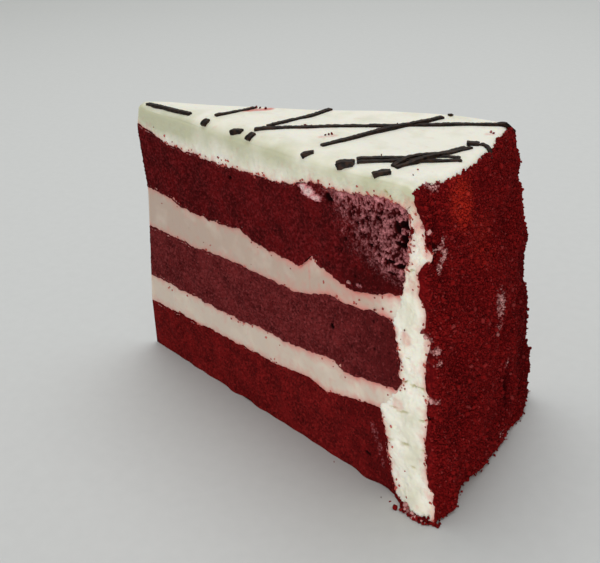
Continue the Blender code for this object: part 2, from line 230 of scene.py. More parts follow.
def plug(node, sockets):
    # sets inputs by name, by number among those in use, or by several numbers at once. Each gets a value, a
    # hex colour, or a link from a socket or node
    inUse = [socket for socket in node.inputs if socket.enabled]
    for key, value in sockets.items():
        if isinstance(key, tuple):
            plug(node, dict(zip(key, value)))
            continue
        socket = inUse[key] if isinstance(key, int) else next(s for s in inUse if s.name == key)
        if isinstance(value, bpy.types.Node):
            value = next(output for output in value.outputs if output.enabled)
        if isinstance(value, bpy.types.NodeSocket):
            node.id_data.links.new(value, socket)
        else:
            isColour = isinstance(value, str) and value.startswith("#")
            socket.default_value = linear(value) if isColour else value


def addNode(tree, kind, sockets=None, **settings):
    # a new node with its settings, and its inputs as plug takes them. The kind is what Blender calls it,
    # without the family that it belongs to
    family = next(f for f in ("Shader", "Geometry", "Function", "") if hasattr(bpy.types, f + "Node" + kind))
    node = tree.nodes.new(family + "Node" + kind)
    for name, value in settings.items():
        setattr(node, name, value)
    plug(node, sockets or {})
    return node


def newTree(name, *numbers, **others):
    # an empty geometry tree with named inputs, what adds a node to it, and the sockets that hand them out
    tree = bpy.data.node_groups.new(name, "GeometryNodeTree")
    inputs = {"Geometry": "Geometry", **dict.fromkeys(numbers, "Float"), **others, "Material": "Material"}
    for key, kind in inputs.items():
        tree.interface.new_socket(key, in_out="INPUT", socket_type="NodeSocket" + kind)
    tree.interface.new_socket("Geometry", in_out="OUTPUT", socket_type="NodeSocketGeometry")
    add = partial(addNode, tree)
    return tree, add, add("GroupInput").outputs


def endTree(add, geometry, material):
    dressed = add("SetMaterial", {0: add("RealizeInstances", {0: geometry}), "Material": material})
    add("GroupOutput", {0: dressed})


def runTree(piece, tree, **values):
    # puts the tree on the piece with its inputs set, and keeps what comes out as a plain mesh
    modifier = piece.modifiers.new(tree.name, "NODES")
    modifier.node_group = tree
    for item in tree.interface.items_tree:
        if item.in_out == "INPUT" and item.name in values:
            modifier[item.identifier] = values[item.name]
    bpy.context.view_layer.update()
    mesh = bpy.data.meshes.new_from_object(piece.evaluated_get(bpy.context.evaluated_depsgraph_get()))
    name = piece.name
    bpy.data.objects.remove(piece)
    return addObject(name, mesh)


def newMaterial(name, look, attributes=(), **noises):
    # a material, its shader, what adds a node to it, and then its sources: each attribute, and a noise of
    # each size in the look, with the detail given
    material = bpy.data.materials.new(name)
    material.use_nodes = True
    shader = material.node_tree.nodes["Principled BSDF"]
    plug(shader, {"Roughness": look["roughness"], "Specular IOR Level": look["specular"]})
    add = partial(addNode, material.node_tree)
    place = add("TexCoord").outputs["Object"]
    sources = [add("Attribute", attribute_name=key).outputs["Fac"] for key in attributes]
    sources += [add("TexNoise", {"Vector": place, "Scale": 1 / look[key + "Size"], "Detail": detail})
                for key, detail in noises.items()]
    return material, shader, add, *sources


# Baked sponge torn by the knife: matt, uneven red, greyish pink where cream was dragged over it, and painted
# shade, nearly black, in its pores, torn holes and the low places of its bumps. A "Span" is from where to
# where a pattern, a smear or the relief in mm tells
spongeLook = {
    "roughness": 0.9, "specular": 0.05, "poreShade": "#1C0405", "smear": "#D6898F", "cream": "#EBD6D4",
    "patchSize": 0.0060, "grainSize": 0.0009, "smearSize": 0.0005, "bumpSize": 0.00055, "bumpDepth": 0.0003,
    "bump": 0.7, "patchSpan": (0.38, 0.62), "grainSpan": (0.45, 0.80), "smearSpan": (0.80, 1.28),
    "smearHeightSpan": (-0.26, 0.36), "creamSpan": (0.95, 1.30), "creamShare": 0.7,
    "poreDepthSpan": (-0.10, -0.75), "finePoreSpan": (0.46, 0.30), "finePoreShare": 0.8,
    "patchHighlightShade": 0.24, "grainHighlightShade": 0.20,
}
spongeTones = {
    "spongeTop": {"dark": "#44080A", "light": "#5E0D10", "speck": "#7E2428"},
    "spongeMiddle": {"dark": "#551618", "light": "#6C2224", "speck": "#883A3C"},
    "spongeBottom": {"dark": "#560B0D", "light": "#6E1113", "speck": "#8C2221"},
}

# Sponge crumbs rubbed fine and pressed on: matt deep red, each crumb a little different
crumbLook = spongeLook | {
    # highlight is the orange of the painted highlight on the crumbed side
    "dark": "#4D0508", "light": "#69080C", "speck": "#881616", "highlight": "#BA2C1C", "poreShade": "#360305",
    "smear": "#DCA6A4", "patchSize": 0.010, "grainSize": 0.0011, "smearSize": 0.0016, "bumpSize": 0.0006,
    "bumpDepth": 0.0004, "looseBump": 0.5, "toneSpan": (0.4, 1.7), "toneHighlightShade": 0.50, "highlightShare": 0.65,
    "looseCreamSpan": (0.95, 1.60), "looseCreamShare": 0.80,
}
# the few that lie on icing, which they have coloured and which lightens them
strewnLook = crumbLook | {"dark": "#7A1A1C", "speck": "#CC6E64", "smear": "#E3B0A6"}

# Cream-cheese icing spread with a palette knife: smooth, slightly waxy and translucent, stained pink by the
# crumbs
creamLook = {
    # oily is painted shade in greenish yellow, and random patches of it
    "roughness": 0.42, "specular": 0.45, "colour": "#F8F4E8", "oily": "#CCCCB0", "blush": "#DB8078",
    # crack is olive yellow painted shade in the cracks
    "crack": "#A0963E", "glow": 0.35, "glowDepth": 0.0018, "glowSpread": (1.0, 0.75, 0.5),
    "patchSize": 0.009, "blushSize": 0.0022, "bumpSize": 0.0012, "bumpDepth": 0.00012, "bump": 0.5,
    "oilySpan": (0.50, 1.10), "oilyShare": 0.50, "blushSpan": (0.62, 1.55),
}
# the same between the sponges, where the knife dragged crumbs through it
fillingLooks = {
    # their oily is a paler tint, which they turn to towards their outer end
    "creamLower": creamLook | {"colour": "#D6C5B7", "oily": "#EFE6D6"},
    "creamUpper": creamLook | {"colour": "#C3AC9E", "oily": "#EAE0D2"},
}

# Dark chocolate set in a thin strip: satin, paler brown where its bumps rise, partly the chocolate's own
# brown and partly painted highlight
chocolateLook = {
    "roughness": 0.5, "specular": 0.16, "dark": "#0E0604", "light": "#3A2418", "bloomSize": 0.0012,
    "bumpDepth": 0.00018, "bump": 0.6, "bumpSheenSpan": (0.40, 0.70),
}


def makeSponge(name, look):
    material, shader, add, relief, smear, warm, patches, grain, smears, rough = newMaterial(
        name, look, ("relief", "smear", "warm"), patch=3.0, grain=2.0, smear=4.0, bump=3.0)
    # warm shifts the patches and grain: painted highlight and shade on the crumbed side, painted shade
    # towards the layers' outer end
    warmPatches = add("Math", {0: warm, 1: look["patchHighlightShade"], 2: patches}, operation="MULTIPLY_ADD")
    patchShare = add("MapRange", {0: warmPatches, (1, 2): look["patchSpan"]})
    base = add("Mix", {0: patchShare, "A": look["dark"], "B": look["light"]}, data_type="RGBA")
    warmGrain = add("Math", {0: warm, 1: look["grainHighlightShade"], 2: grain}, operation="MULTIPLY_ADD")
    grainShare = add("MapRange", {0: warmGrain, (1, 2): look["grainSpan"]})
    speckled = add("Mix", {0: grainShare, "A": base, "B": look["speck"]}, data_type="RGBA")
    # cream lies on the high crumbs, so it shows where the relief is high
    high = add("MapRange", {0: relief, (1, 2): look["smearHeightSpan"]})
    smearSum = add("Math", {0: smear, 1: smears}, operation="ADD")
    smearEdge = add("MapRange", {0: smearSum, (1, 2): look["smearSpan"]})
    smearShare = add("Math", {0: smearEdge, 1: high}, operation="MULTIPLY")
    thick = add("MapRange", {0: smear, (1, 2): look["creamSpan"], 4: look["creamShare"]})
    cream = add("Mix", {0: thick, "A": look["smear"], "B": look["cream"]}, data_type="RGBA")
    creamed = add("Mix", {0: smearShare, "A": speckled, "B": cream}, data_type="RGBA")
    # painted shade: nearly black where the relief is low or dug, and where the fine bump noise is low
    low = add("MapRange", {0: relief, (1, 2): look["poreDepthSpan"]})
    finePores = add("MapRange", {0: rough, (1, 2): look["finePoreSpan"], 4: look["finePoreShare"]})
    pores = add("Math", {0: low, 1: finePores}, operation="MAXIMUM")
    darkened = add("Mix", {0: pores, "A": creamed, "B": look["poreShade"]}, data_type="RGBA")
    bump = add("Bump", {"Height": rough, "Strength": look["bump"], "Distance": look["bumpDepth"]})
    plug(shader, {"Base Color": darkened, "Normal": bump})
    return material


def makeCream(name, look):
    material, shader, add, oily, crack, blush, patches, stain, ripple = newMaterial(
        name, look, ("oily", "crack", "blush"), patch=3.0, blush=3.0, bump=2.0)
    plug(shader, {"Subsurface Weight": look["glow"], "Subsurface Radius": look["glowSpread"],
                  "Subsurface Scale": look["glowDepth"]})
    # oily: painted greenish yellow shade on the icing, a paler tint on the fillings, and random patches of
    # either
    oil = add("Math", {0: oily, 1: look["oilyShare"], 2: patches}, operation="MULTIPLY_ADD")
    shadeAndTintMix = add("MapRange", {0: oil, (1, 2): look["oilySpan"]})
    base = add("Mix", {0: shadeAndTintMix, "A": look["colour"], "B": look["oily"]}, data_type="RGBA")
    cracked = add("Mix", {0: crack, "A": base, "B": look["crack"]}, data_type="RGBA")
    stainSum = add("Math", {0: blush, 1: stain}, operation="ADD")
    stainShare = add("MapRange", {0: stainSum, (1, 2): look["blushSpan"]})
    stained = add("Mix", {0: stainShare, "A": cracked, "B": look["blush"]}, data_type="RGBA")
    bump = add("Bump", {"Height": ripple, "Strength": look["bump"], "Distance": look["bumpDepth"]})
    plug(shader, {"Base Color": stained, "Normal": bump})
    return material


def makeCrumb(name, look):
    # "tone" differs from crumb to crumb, and cream whitens those on a smeared place
    material, shader, add, tone, smear, warm, mottle, rough = newMaterial(
        name, look, ("tone", "smear", "warm"), grain=2.0, bump=2.0)
    toneSum = add("Math", {0: tone, 1: mottle}, operation="ADD")
    # warm lightens or darkens each crumb and turns the lit ones orange: painted highlight and shade
    warmSum = add("Math", {0: warm, 1: look["toneHighlightShade"], 2: toneSum}, operation="MULTIPLY_ADD")
    share = add("MapRange", {0: warmSum, (1, 2): look["toneSpan"]})
    glow = add("Math", {0: warm, 1: look["highlightShare"]}, operation="MULTIPLY")
    light = add("Mix", {0: glow, "A": look["speck"], "B": look["highlight"]}, data_type="RGBA")
    base = add("Mix", {0: share, "A": look["dark"], "B": light}, data_type="RGBA")
    creamSum = add("Math", {0: smear, 1: tone}, operation="ADD")
    creamShare = add("MapRange", {0: creamSum, (1, 2): look["looseCreamSpan"], 4: look["looseCreamShare"]})
    creamed = add("Mix", {0: creamShare, "A": base, "B": look["smear"]}, data_type="RGBA")
    bump = add("Bump", {"Height": rough, "Strength": look["looseBump"], "Distance": look["bumpDepth"]})
    plug(shader, {"Base Color": creamed, "Normal": bump})
    return material


def makeChocolate(name, look):
    material, shader, add, bloom = newMaterial(name, look, bloom=4.0)
    share = add("MapRange", {0: bloom, (1, 2): look["bumpSheenSpan"]})
    base = add("Mix", {0: share, "A": look["dark"], "B": look["light"]}, data_type="RGBA")
    bump = add("Bump", {"Height": bloom, "Strength": look["bump"], "Distance": look["bumpDepth"]})
    plug(shader, {"Base Color": base, "Normal": bump})
    return material


materials = {name: makeSponge(name + "Crumb", spongeLook | tones) for name, tones in spongeTones.items()}
materials["icing"] = makeCream("creamCheeseIcing", creamLook)
materials["creamLower"] = makeCream("stainedLowerFilling", fillingLooks["creamLower"])
materials["creamUpper"] = makeCream("stainedUpperFilling", fillingLooks["creamUpper"])
materials["coat"] = makeSponge("pressedCrumbs", crumbLook)
materials["crumb"] = makeCrumb("looseCrumb", crumbLook)
materials["strewnCrumb"] = makeCrumb("creamyCrumb", strewnLook)
materials["chocolate"] = makeChocolate("darkChocolate", chocolateLook)
print("materials made")

# Relief of the cut or crumbed surfaces: how wide and how high the grains and lumps are, and how wide and how
# deep the holes
reliefs = {
    "sponge": {"Grain": 0.00070, "GrainDepth": 0.00026, "Lump": 0.0022, "LumpDepth": 0.00022, "Hole": 0.0012,
               "HoleDepth": 0.00060},
    "cream": {"Grain": 0.0030, "GrainDepth": 0.00004, "Lump": 0.0060, "LumpDepth": 0.00012, "Hole": 0.0016,
              "HoleDepth": 0.00035},
    "icing": {"Grain": 0.0010, "GrainDepth": 0.00012, "Lump": 0.0030, "LumpDepth": 0.00028, "Hole": 0.0009,
              "HoleDepth": 0.00032},
    "coat": {"Grain": 0.0010, "GrainDepth": 0.00022, "Lump": 0.0030, "LumpDepth": 0.00028, "Hole": 0.0020,
             "HoleDepth": 0.00050},
}


def makeReliefTree():
    # moves a skin along its "push": pebbly grains, slow lumps and holes. "open" says how much of it has holes
    tree, add, given = newTree("crumbRelief", "Grain", "GrainDepth", "Lump", "LumpDepth", "Hole", "HoleDepth")
    place = add("InputPosition")
    openness, dug, push = (add("InputNamedAttribute", {"Name": key}, data_type=kind) for key, kind in
                           (("open", "FLOAT"), ("dug", "FLOAT"), ("push", "FLOAT_VECTOR")))
    grainScale, lumpScale, holeScale = (add("Math", {0: 1.0, 1: given[key]}, operation="DIVIDE")
                                        for key in ("Grain", "Lump", "Hole"))
    bend = add("TexNoise", {"Vector": place, "Scale": grainScale, "Detail": 1.0})
    bent = add("VectorMath", {0: bend.outputs["Color"], "Scale": given["Grain"]}, operation="SCALE")
    bentPlace = add("VectorMath", {0: place, 1: bent}, operation="ADD")
    # a pebble is high in its middle, and a hole opens where its noise and the openness pass 0.62
    pebbles = add("TexVoronoi", {"Vector": bentPlace, "Scale": grainScale})
    grain = add("MapRange", {0: pebbles, (1, 2, 3, 4): (0.0, 0.9, 1.0, -1.0)})
    lumps = add("TexNoise", {"Vector": place, "Scale": lumpScale, "Detail": 2.0})
    lump = add("MapRange", {0: lumps, (1, 2, 3, 4): (0.25, 0.75, -1.0, 1.0)})
    pockets = add("TexNoise", {"Vector": bentPlace, "Scale": holeScale, "Detail": 2.0})
    pocket = add("Math", {0: pockets, 1: openness}, operation="ADD")
    hole = add("MapRange", {0: pocket, (1, 2): (0.62, 0.78)}, interpolation_type="SMOOTHSTEP")
    grainHeight, lumpHeight, holeHeight = (
        add("Math", {0: share, 1: given[key]}, operation="MULTIPLY")
        for share, key in ((grain, "GrainDepth"), (lump, "LumpDepth"), (hole, "HoleDepth")))
    together = add("Math", {0: grainHeight, 1: lumpHeight}, operation="ADD")
    height = add("Math", {0: together, 1: holeHeight}, operation="SUBTRACT")
    # the material reads how high each point then is, in mm, and paints shade where it is low: dug places
    # count as lower still
    pushLength = add("VectorMath", {0: push}, operation="LENGTH")
    pushed = add("Math", {0: height, 1: pushLength}, operation="MULTIPLY")
    pushedMm = add("Math", {0: pushed, 1: 1000.0}, operation="MULTIPLY")
    relief = add("Math", {0: pushedMm, 1: dug}, operation="SUBTRACT")
    noted = add("StoreNamedAttribute", {0: given["Geometry"], "Name": "relief", "Value": relief},
                data_type="FLOAT", domain="POINT")
    offset = add("VectorMath", {0: push, "Scale": height}, operation="SCALE")
    endTree(add, add("SetPosition", {0: noted, "Offset": offset}), given["Material"])
    return tree


reliefTree = makeReliefTree()

# The layers, from the table up. Each top is along the near cut: (distance from the cake's centre, height).
# Rows are the faces in a cut, and openEnd is how much more open the sponge is towards its outer end.
layers = [
    {"piece": "spongeBottom", "node": "sponge_bottom", "rows": 80,
     "top": metres((2, 16.8), (20, 17.7), (50, 19.4), (69, 20), (80, 22), (87, 20.3), (93, 21.8), (108, 25))},
    {"piece": "creamLower", "node": "cream_lower", "rows": 26,
     "top": metres((2, 27.2), (18, 27.8), (50, 28.4), (62, 30), (72, 29.6), (90, 32.5), (95, 30.1),
                   (116, 34.8))},
    {"piece": "spongeMiddle", "node": "sponge_middle", "rows": 76, "openEnd": 0.02,
     "top": metres((5, 46.4), (33, 46.4), (45, 47.8), (78, 48), (90, 52.2), (95, 51.3), (110, 53.4),
                   (114, 51.8))},
    {"piece": "creamUpper", "node": "cream_upper", "rows": 26,
     "top": metres((5, 60.7), (14, 60.7), (25, 58.7), (45, 58.6), (53, 60.2), (60, 57.7), (71, 57.2),
                   (79, 56.6), (83, 61.4), (88, 59), (99, 56.2), (116, 61.8))},
    {"piece": "spongeTop", "node": "sponge_top", "rows": 84, "openEnd": 0.055,
     "top": metres((4, 82), (20, 78.3), (45, 78), (75, 79.3), (85, 82.5), (97, 82.8), (112, 85.6),
                   (118, 84.2))},
]
layerShape = {
    "columns": 480,
    "bunching": 0.85,           # below 1, the columns stand closer towards the side
    "sideways": [-1, -0.985, -0.95, -0.88, -0.75, -0.5, -0.2, 0.2, 0.5, 0.75, 0.88, 0.95, 0.985, 1],
    "spongeCrag": 0.0010,       # slow relief of a cut sponge, and of cut cream and by its seams
    "creamCrag": 0.0003,
    "cragReach": (0.0, 0.004),
    "cragSize": 0.0065,
    "cragFade": 0.020,
    "jag": [(0.0050, 0.00045), (0.0021, 0.00055), (0.0010, 0.00042)],      # how seams fray: (size, depth)
    "jagWidth": 0.02,           # taken as half the slice's width there
    "calmTip": (0.002, 0.010),  # the seams don't fray at the very tip
    "flatTip": (0.0, 0.006),    # and the relief starts beyond it
    "creamOverlap": 0.0006,     # cream runs this far under its neighbours
    "creamEnd": 0.0014,
    "creamRecess": 0.00010,
    "tipRecess": 0.4,           # the share of that which is left at the tip
    "creamDive": 0.00035,       # and its edges lie this much deeper
    "diveReach": (0.0, 0.0012),
    "fineAtSeam": 0.45,         # how much of the fine relief is left right at a seam, and none at the foot
    "fineReach": (0.0, 0.0010),
    "footReach": (0.0, 0.0012),
    "open": -0.03,              # how open the sponge is, and how much more closed at the seams
    "closedSeam": 0.25,
    "closedReach": (0.0004, 0.0016),
    "openEndReach": (0.050, 0.085),
    # how uneven the edges of torn places and daubs are, and between which shares of their reach they fade
    "tornWobble": 0.45, "tornWobbleSize": 0.0012, "tornEdge": (0.45, 1.0),
    "daubWobble": 0.30, "daubWobbleSize": 0.0011, "daubEdge": (0.3, 1.0),
}
# Colour on the layers. Where there are two numbers, the first is for the tip and the second for the outer end
layerColour = {
    "seamSmear": 0.30,          # cream dragged beside the seams
    "seamSmearReach": 0.0012,
    "bottomSmearShare": 0.5,
    "outward": (0.05, 0.10),    # from where to where the first number turns into the second
    "blush": (0.78, 1.0),       # how red cream is beside a seam
    "blushReach": (0.0013, 0.0018),
    "warm": (0.085, 0.116, -0.6),           # painted shade: from where to where the sponge, and crumbs on it, get darker outwards
    "oily": (0.103, 0.1165, 1.1),           # and the filling paler
    "strewnReach": (0.0006, 0.0011),
    "strewnStart": (0.004, 0.02),
    "strewnGaps": (-0.35, 0.45),
    "strewnGapSize": 0.0040,
    "strewnShare": 0.45,        # how thickly crumbs lie by the seams, and anywhere else
    "strayShare": 0.002,
}
# A thin red line down the upper filling: distance from the centre, how far it wanders and how wide it is
redLine = {"at": 0.0831, "wander": 0.0004, "wanderSize": 0.003, "width": 0.0005, "share": 0.55, "uneven": 0.5,
           "unevenSize": 0.0015}
# Creamy haze over the top sponge's outer end: from where to where it thickens along and up, how much it leans
# with the height over a level, its clouds, and how strong it is in all, by the top and by the outer end
haze = {"along": (0.082, 0.108), "up": (0.0580, 0.0700), "lean": 0.75, "leanFrom": 0.075, "cloudSize": 0.0038,
        "flatness": 0.35, "least": 0.92, "cloud": 0.22, "share": 0.68, "topReach": (0.0010, 0.0060),
        "topShare": 0.20, "endReach": (0.107, 0.112), "endShare": 0.14, "open": 0.03, "rough": 0.35}
# Torn places on the near cut: (distance from the centre, height, reach along, reach up, depth), in mm
# their depth also goes into the dug, which the material paints as shade in the holes
tornPlaces = {
    "spongeTop": [(116.9, 80.0, 2.6, 1.1, 2.6), (117.1, 76.0, 1.9, 1.6, 2.8), (114.6, 78.6, 1.4, 1.2, 2.0),
                  (115.4, 74.5, 1.9, 0.7, 2.2), (116.5, 69.2, 1.9, 0.8, 2.2), (118.0, 67.4, 1.4, 0.6, 2.0),
                  (112.4, 69.6, 2.0, 0.5, 1.3), (113.2, 66.5, 1.3, 0.6, 1.2), (91.2, 80.1, 1.8, 1.3, 2.0),
                  (101.0, 76.0, 1.0, 0.4, 0.9), (106.0, 71.5, 1.0, 0.5, 0.9), (97.0, 70.5, 1.0, 0.5, 0.8),
                  (108.5, 79.5, 1.1, 0.5, 0.9), (50.0, 75.0, 1.3, 0.8, 0.9)],
    "spongeMiddle": [(91.5, 42.7, 1.0, 0.9, 2.2), (107.0, 50.5, 1.0, 0.5, 0.5)],
    "spongeBottom": [(104.0, 8.0, 1.5, 0.8, 0.7)],
}
# Cream daubed on the near cut, likewise, with its height over the sponge and how much of it there is
daubs = {
    "spongeTop": [(82.4, 80.6, 2.6, 2.2, 0.5, 1.3), (84.9, 80.1, 2.8, 2.3, 0.6, 1.3),
                  (87.4, 79.1, 2.3, 1.6, 0.45, 1.2), (105.0, 85.2, 2.6, 0.8, 0.3, 1.0),
                  (108.6, 84.6, 2.0, 0.9, 0.3, 1.0), (102.0, 59.0, 2.0, 1.0, 0.2, 0.9),
                  (96.0, 82.4, 2.0, 1.4, 0.1, 1.0)],
    "spongeBottom": [(106.0, 18.0, 1.6, 3.0, 0.0, 0.42), (107.2, 15.5, 1.6, 3.4, 0.0, 0.46),
                     (108.4, 12.0, 1.5, 3.2, 0.0, 0.44), (109.9, 8.5, 1.3, 3.0, 0.0, 0.4)],
}


def jagged(seed, *place):
    return sum(depth * waves(size, seed + n, *place) for n, (size, depth) in enumerate(layerShape["jag"]))


def spongeEdge(height, sideways):
    # where a sponge ends under the side's icing, frayed
    frayed = jagged(60, sideways * layerShape["jagWidth"], height)
    return read(cake["spongeEdge"], height, blur=0.001) + frayed


def seamHeight(seam, outShare, sideways, fray=1.0):
    # height of seam number `seam`: 0 is the table, 1 the top of the first layer, and so on
    if seam == 0:
        return 0.0 * outShare * sideways
    profile = layers[seam - 1]["top"]
    middle = profile[len(profile) // 2][1]
    radius = mix(read(cake["tip"], middle), read(cake["spongeEdge"], middle), outShare)
    near = ((1 - sideways) / 2) ** cake["seamBlend"]
    straight = mix(profile[0][1], profile[-1][1], radius / profile[-1][0])
    wave = cake["seamWave"] * waves(cake["seamWaveSize"], seam, radius, sideways * cake["seamWaveSize"])
    torn = fray * jagged(40 + 3 * seam, radius, sideways * layerShape["jagWidth"])
    torn = torn * ease(*layerShape["calmTip"], radius)
    return mix(straight + wave, read(profile, radius, blur=0.0008), near) + torn


def crag(depth, radius, height, sideways):
    fade = np.minimum(1.0, radius / layerShape["cragFade"]) ** 2
    bumps = waves(layerShape["cragSize"], 3 + sideways, radius, height)
    return cutNormal(sideways) * (depth * fade * bumps)[:, None]


def dive(toEdge):
    # how much deeper the cream's cut lies at its edges, where it goes under its neighbours
    return layerShape["creamDive"] * (1 - ease(*layerShape["diveReach"], toEdge))


def makeLayer(number):
    layer, shape, colour = layers[number - 1], layerShape, layerColour
    name, isCream = layer["piece"], layer["piece"].startswith("cream")
    steps = np.array(shape["sideways"], float)
    cells = (shape["columns"], len(steps) - 1, layer["rows"])
    i, j, k, faces = skinBlock(cells)
    outSteps = (np.arange(cells[0] + 1) / cells[0]) ** shape["bunching"]
    grid = np.meshgrid(outSteps, steps, indexing="ij")
    low, high = (seamHeight(seam, *grid)[i, j] for seam in (number - 1, number))
    evenLow, evenHigh = (seamHeight(seam, *grid, fray=0.0)[i, j] for seam in (number - 1, number))
    if isCream:
        low, high = low - shape["creamOverlap"], high + shape["creamOverlap"]
    sideways, z = steps[j], mix(low, high, k / cells[2])
    start, end = read(cake["tip"], z, blur=0.002), spongeEdge(z, sideways)
    if isCream:
        end = read(cake["spongeEdge"], z, blur=0.001) + shape["creamEnd"]
    radius = mix(start, end, outSteps[i])
    points, normal = onPlan(radius, sideways, z), cutNormal(sideways)
    onCut, onNear, flatTip = np.abs(sideways) == 1, sideways == -1, ease(*shape["flatTip"], radius)
    # how far each point is from a seam, and from the same seam if it weren't frayed
    toSeam, toEvenSeam = high - z, evenHigh - z
    if number > 1:
        toSeam, toEvenSeam = np.minimum(z - low, toSeam), np.minimum(z - evenLow, toEvenSeam)
    toEvenSeam = toEvenSeam.clip(0)
    deep = shape["creamCrag"]
    if not isCream:
        deep = mix(deep, shape["spongeCrag"], ease(*shape["cragReach"], toSeam))
    points += crag(deep, radius, z, sideways)
    if isCream:
        recess = shape["creamRecess"] + dive(np.minimum(toSeam, end - radius))
        points -= normal * (recess * mix(shape["tipRecess"], 1.0, flatTip))[:, None]

    dug, daubed = np.zeros(len(i)), np.zeros(len(i))
    for *place, depth in tornPlaces.get(name, ()):
        wobble = shape["tornWobble"] * waves(shape["tornWobbleSize"], place[0], radius, z)
        dug += depth * cutSpot(radius, sideways, z, place, shape["tornEdge"], wobble)
    for *place, rise, share in daubs.get(name, ()):
        wobble = shape["daubWobble"] * waves(shape["daubWobbleSize"], place[0], radius, z)
        here = cutSpot(radius, sideways, z, place, shape["daubEdge"], wobble)
        dug -= rise * here
        daubed = np.maximum(daubed, share * here)
    points -= normal * dug[:, None] * 0.001

    smear = colour["seamSmear"] * np.exp(-toEvenSeam / colour["seamSmearReach"])
    hollow = shape["open"] - shape["closedSeam"] * (1 - ease(*shape["closedReach"], toSeam))
    hollow = hollow + layer.get("openEnd", 0.0) * ease(*shape["openEndReach"], radius)
    fine = flatTip * (1 if isCream else mix(shape["fineAtSeam"], 1.0, ease(*shape["fineReach"], toSeam)))
    if name == "spongeTop":
        lean = radius + haze["lean"] * (z - haze["leanFrom"])
        cloud = haze["cloud"] * waves(haze["cloudSize"], 31, radius, haze["flatness"] * z)
        veil = ease(*haze["along"], lean) * ease(*haze["up"], z) * (sideways < 0) * (haze["least"] + cloud)
        byTop = haze["topShare"] * (1 - ease(*haze["topReach"], evenHigh - z))
        byEnd = haze["endShare"] * ease(*haze["endReach"], radius)
        smear = np.maximum(smear, veil * (haze["share"] + byTop + byEnd))
        hollow += haze["open"] * veil
        fine = fine * (1 + haze["rough"] * veil)
    if name == "spongeBottom":
        smear *= colour["bottomSmearShare"]
        fine = fine * ease(*shape["footReach"], z)
    smear = np.maximum(smear, daubed)

    outward = ease(*colour["outward"], radius)
    blush = np.exp(-toEvenSeam / mix(*colour["blushReach"], outward)) * mix(*colour["blush"], outward)
    if name == "creamUpper":
        offLine = radius - redLine["at"] - redLine["wander"] * waves(redLine["wanderSize"], 7, z)
        red = np.exp(-np.abs(offLine) / redLine["width"]) * onNear
        red = red * (redLine["share"] + redLine["uneven"] * waves(redLine["unevenSize"], 8, z))
        blush = np.maximum(blush, red)
    blush[(k == 0) | (k == cells[2]) | (i == cells[0])] = 1.0
    bySeam = np.exp(-toEvenSeam / mix(*colour["strewnReach"], outward)) * ease(*colour["strewnStart"], radius)
    gaps = ease(*colour["strewnGaps"], waves(colour["strewnGapSize"], 21 + number, radius, z))
    strewn = (colour["strewnShare"] * bySeam * gaps + colour["strayShare"]) * onCut
    # painted shade, darker towards the outer end, and the fillings' paler tint there
    warm, oily = (share * ease(start, end, radius) for start, end, share in (colour["warm"], colour["oily"]))
    piece = addMesh(name, points, faces, push=normal * fine[:, None], smear=smear, open=hollow, dug=dug,
                    blush=blush, warm=warm, oily=oily, strewn=strewn * isCream)
    kind = "cream" if isCream else "sponge"
    piece = runTree(piece, reliefTree, **reliefs[kind], Material=materials[name])
    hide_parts(layer["node"])
    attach(piece, "root")
    return piece


layerPieces = {layer["piece"]: makeLayer(number) for number, layer in enumerate(layers, start=1)}
print("layers made")

# The icing, one bent sheet over the top and down the side
icingShape = {
    "topColumns": 300, "cornerColumns": 8, "sideColumns": 270, "rows": 36,
    "bunching": 0.9,            # below 1, the top's columns stand closer towards the side
    "sideways": np.concatenate([[-1, -0.992, -0.98, -0.965, -0.945, -0.92, -0.89],
                                np.linspace(-0.85, 0.85, 28), [0.89, 0.92, 0.945, 0.965, 0.98, 0.992, 1]]),
    "edgeRound": 0.0017,        # top edges at the cuts
    "shoulderRound": 0.0030,
    "underlap": 0.0005,
    "underCorner": 0.01,
    "cragReach": (0.0, 0.002),  # how far down from the top the relief of its cuts starts
    "fineReach": (0.0005, 0.003),
    "open": -0.06,              # how open it is on top, and down the side
    "openSide": 0.07,
    # the cracks' waves as (size, depth in mm), how soft their edge is, how open their ends, how deep they
    # dig, and how much painted shade fills them: at least, and more for each mm of depth
    "crackWaves": [(0.0014, 0.55), (0.0005, 0.25)],
    "crackEdge": (0.2, 1.0), "crackEnds": 0.4, "crackDig": 0.6, "crackShade": (0.5, 0.45),
    "recessShare": 0.5,         # how much of the fillings' recess its cuts have
    # strokes of the palette knife on top: (length, width, depth)
    "strokes": [(0.040, 0.0060, 0.00022), (0.018, 0.0028, 0.00008)],
}
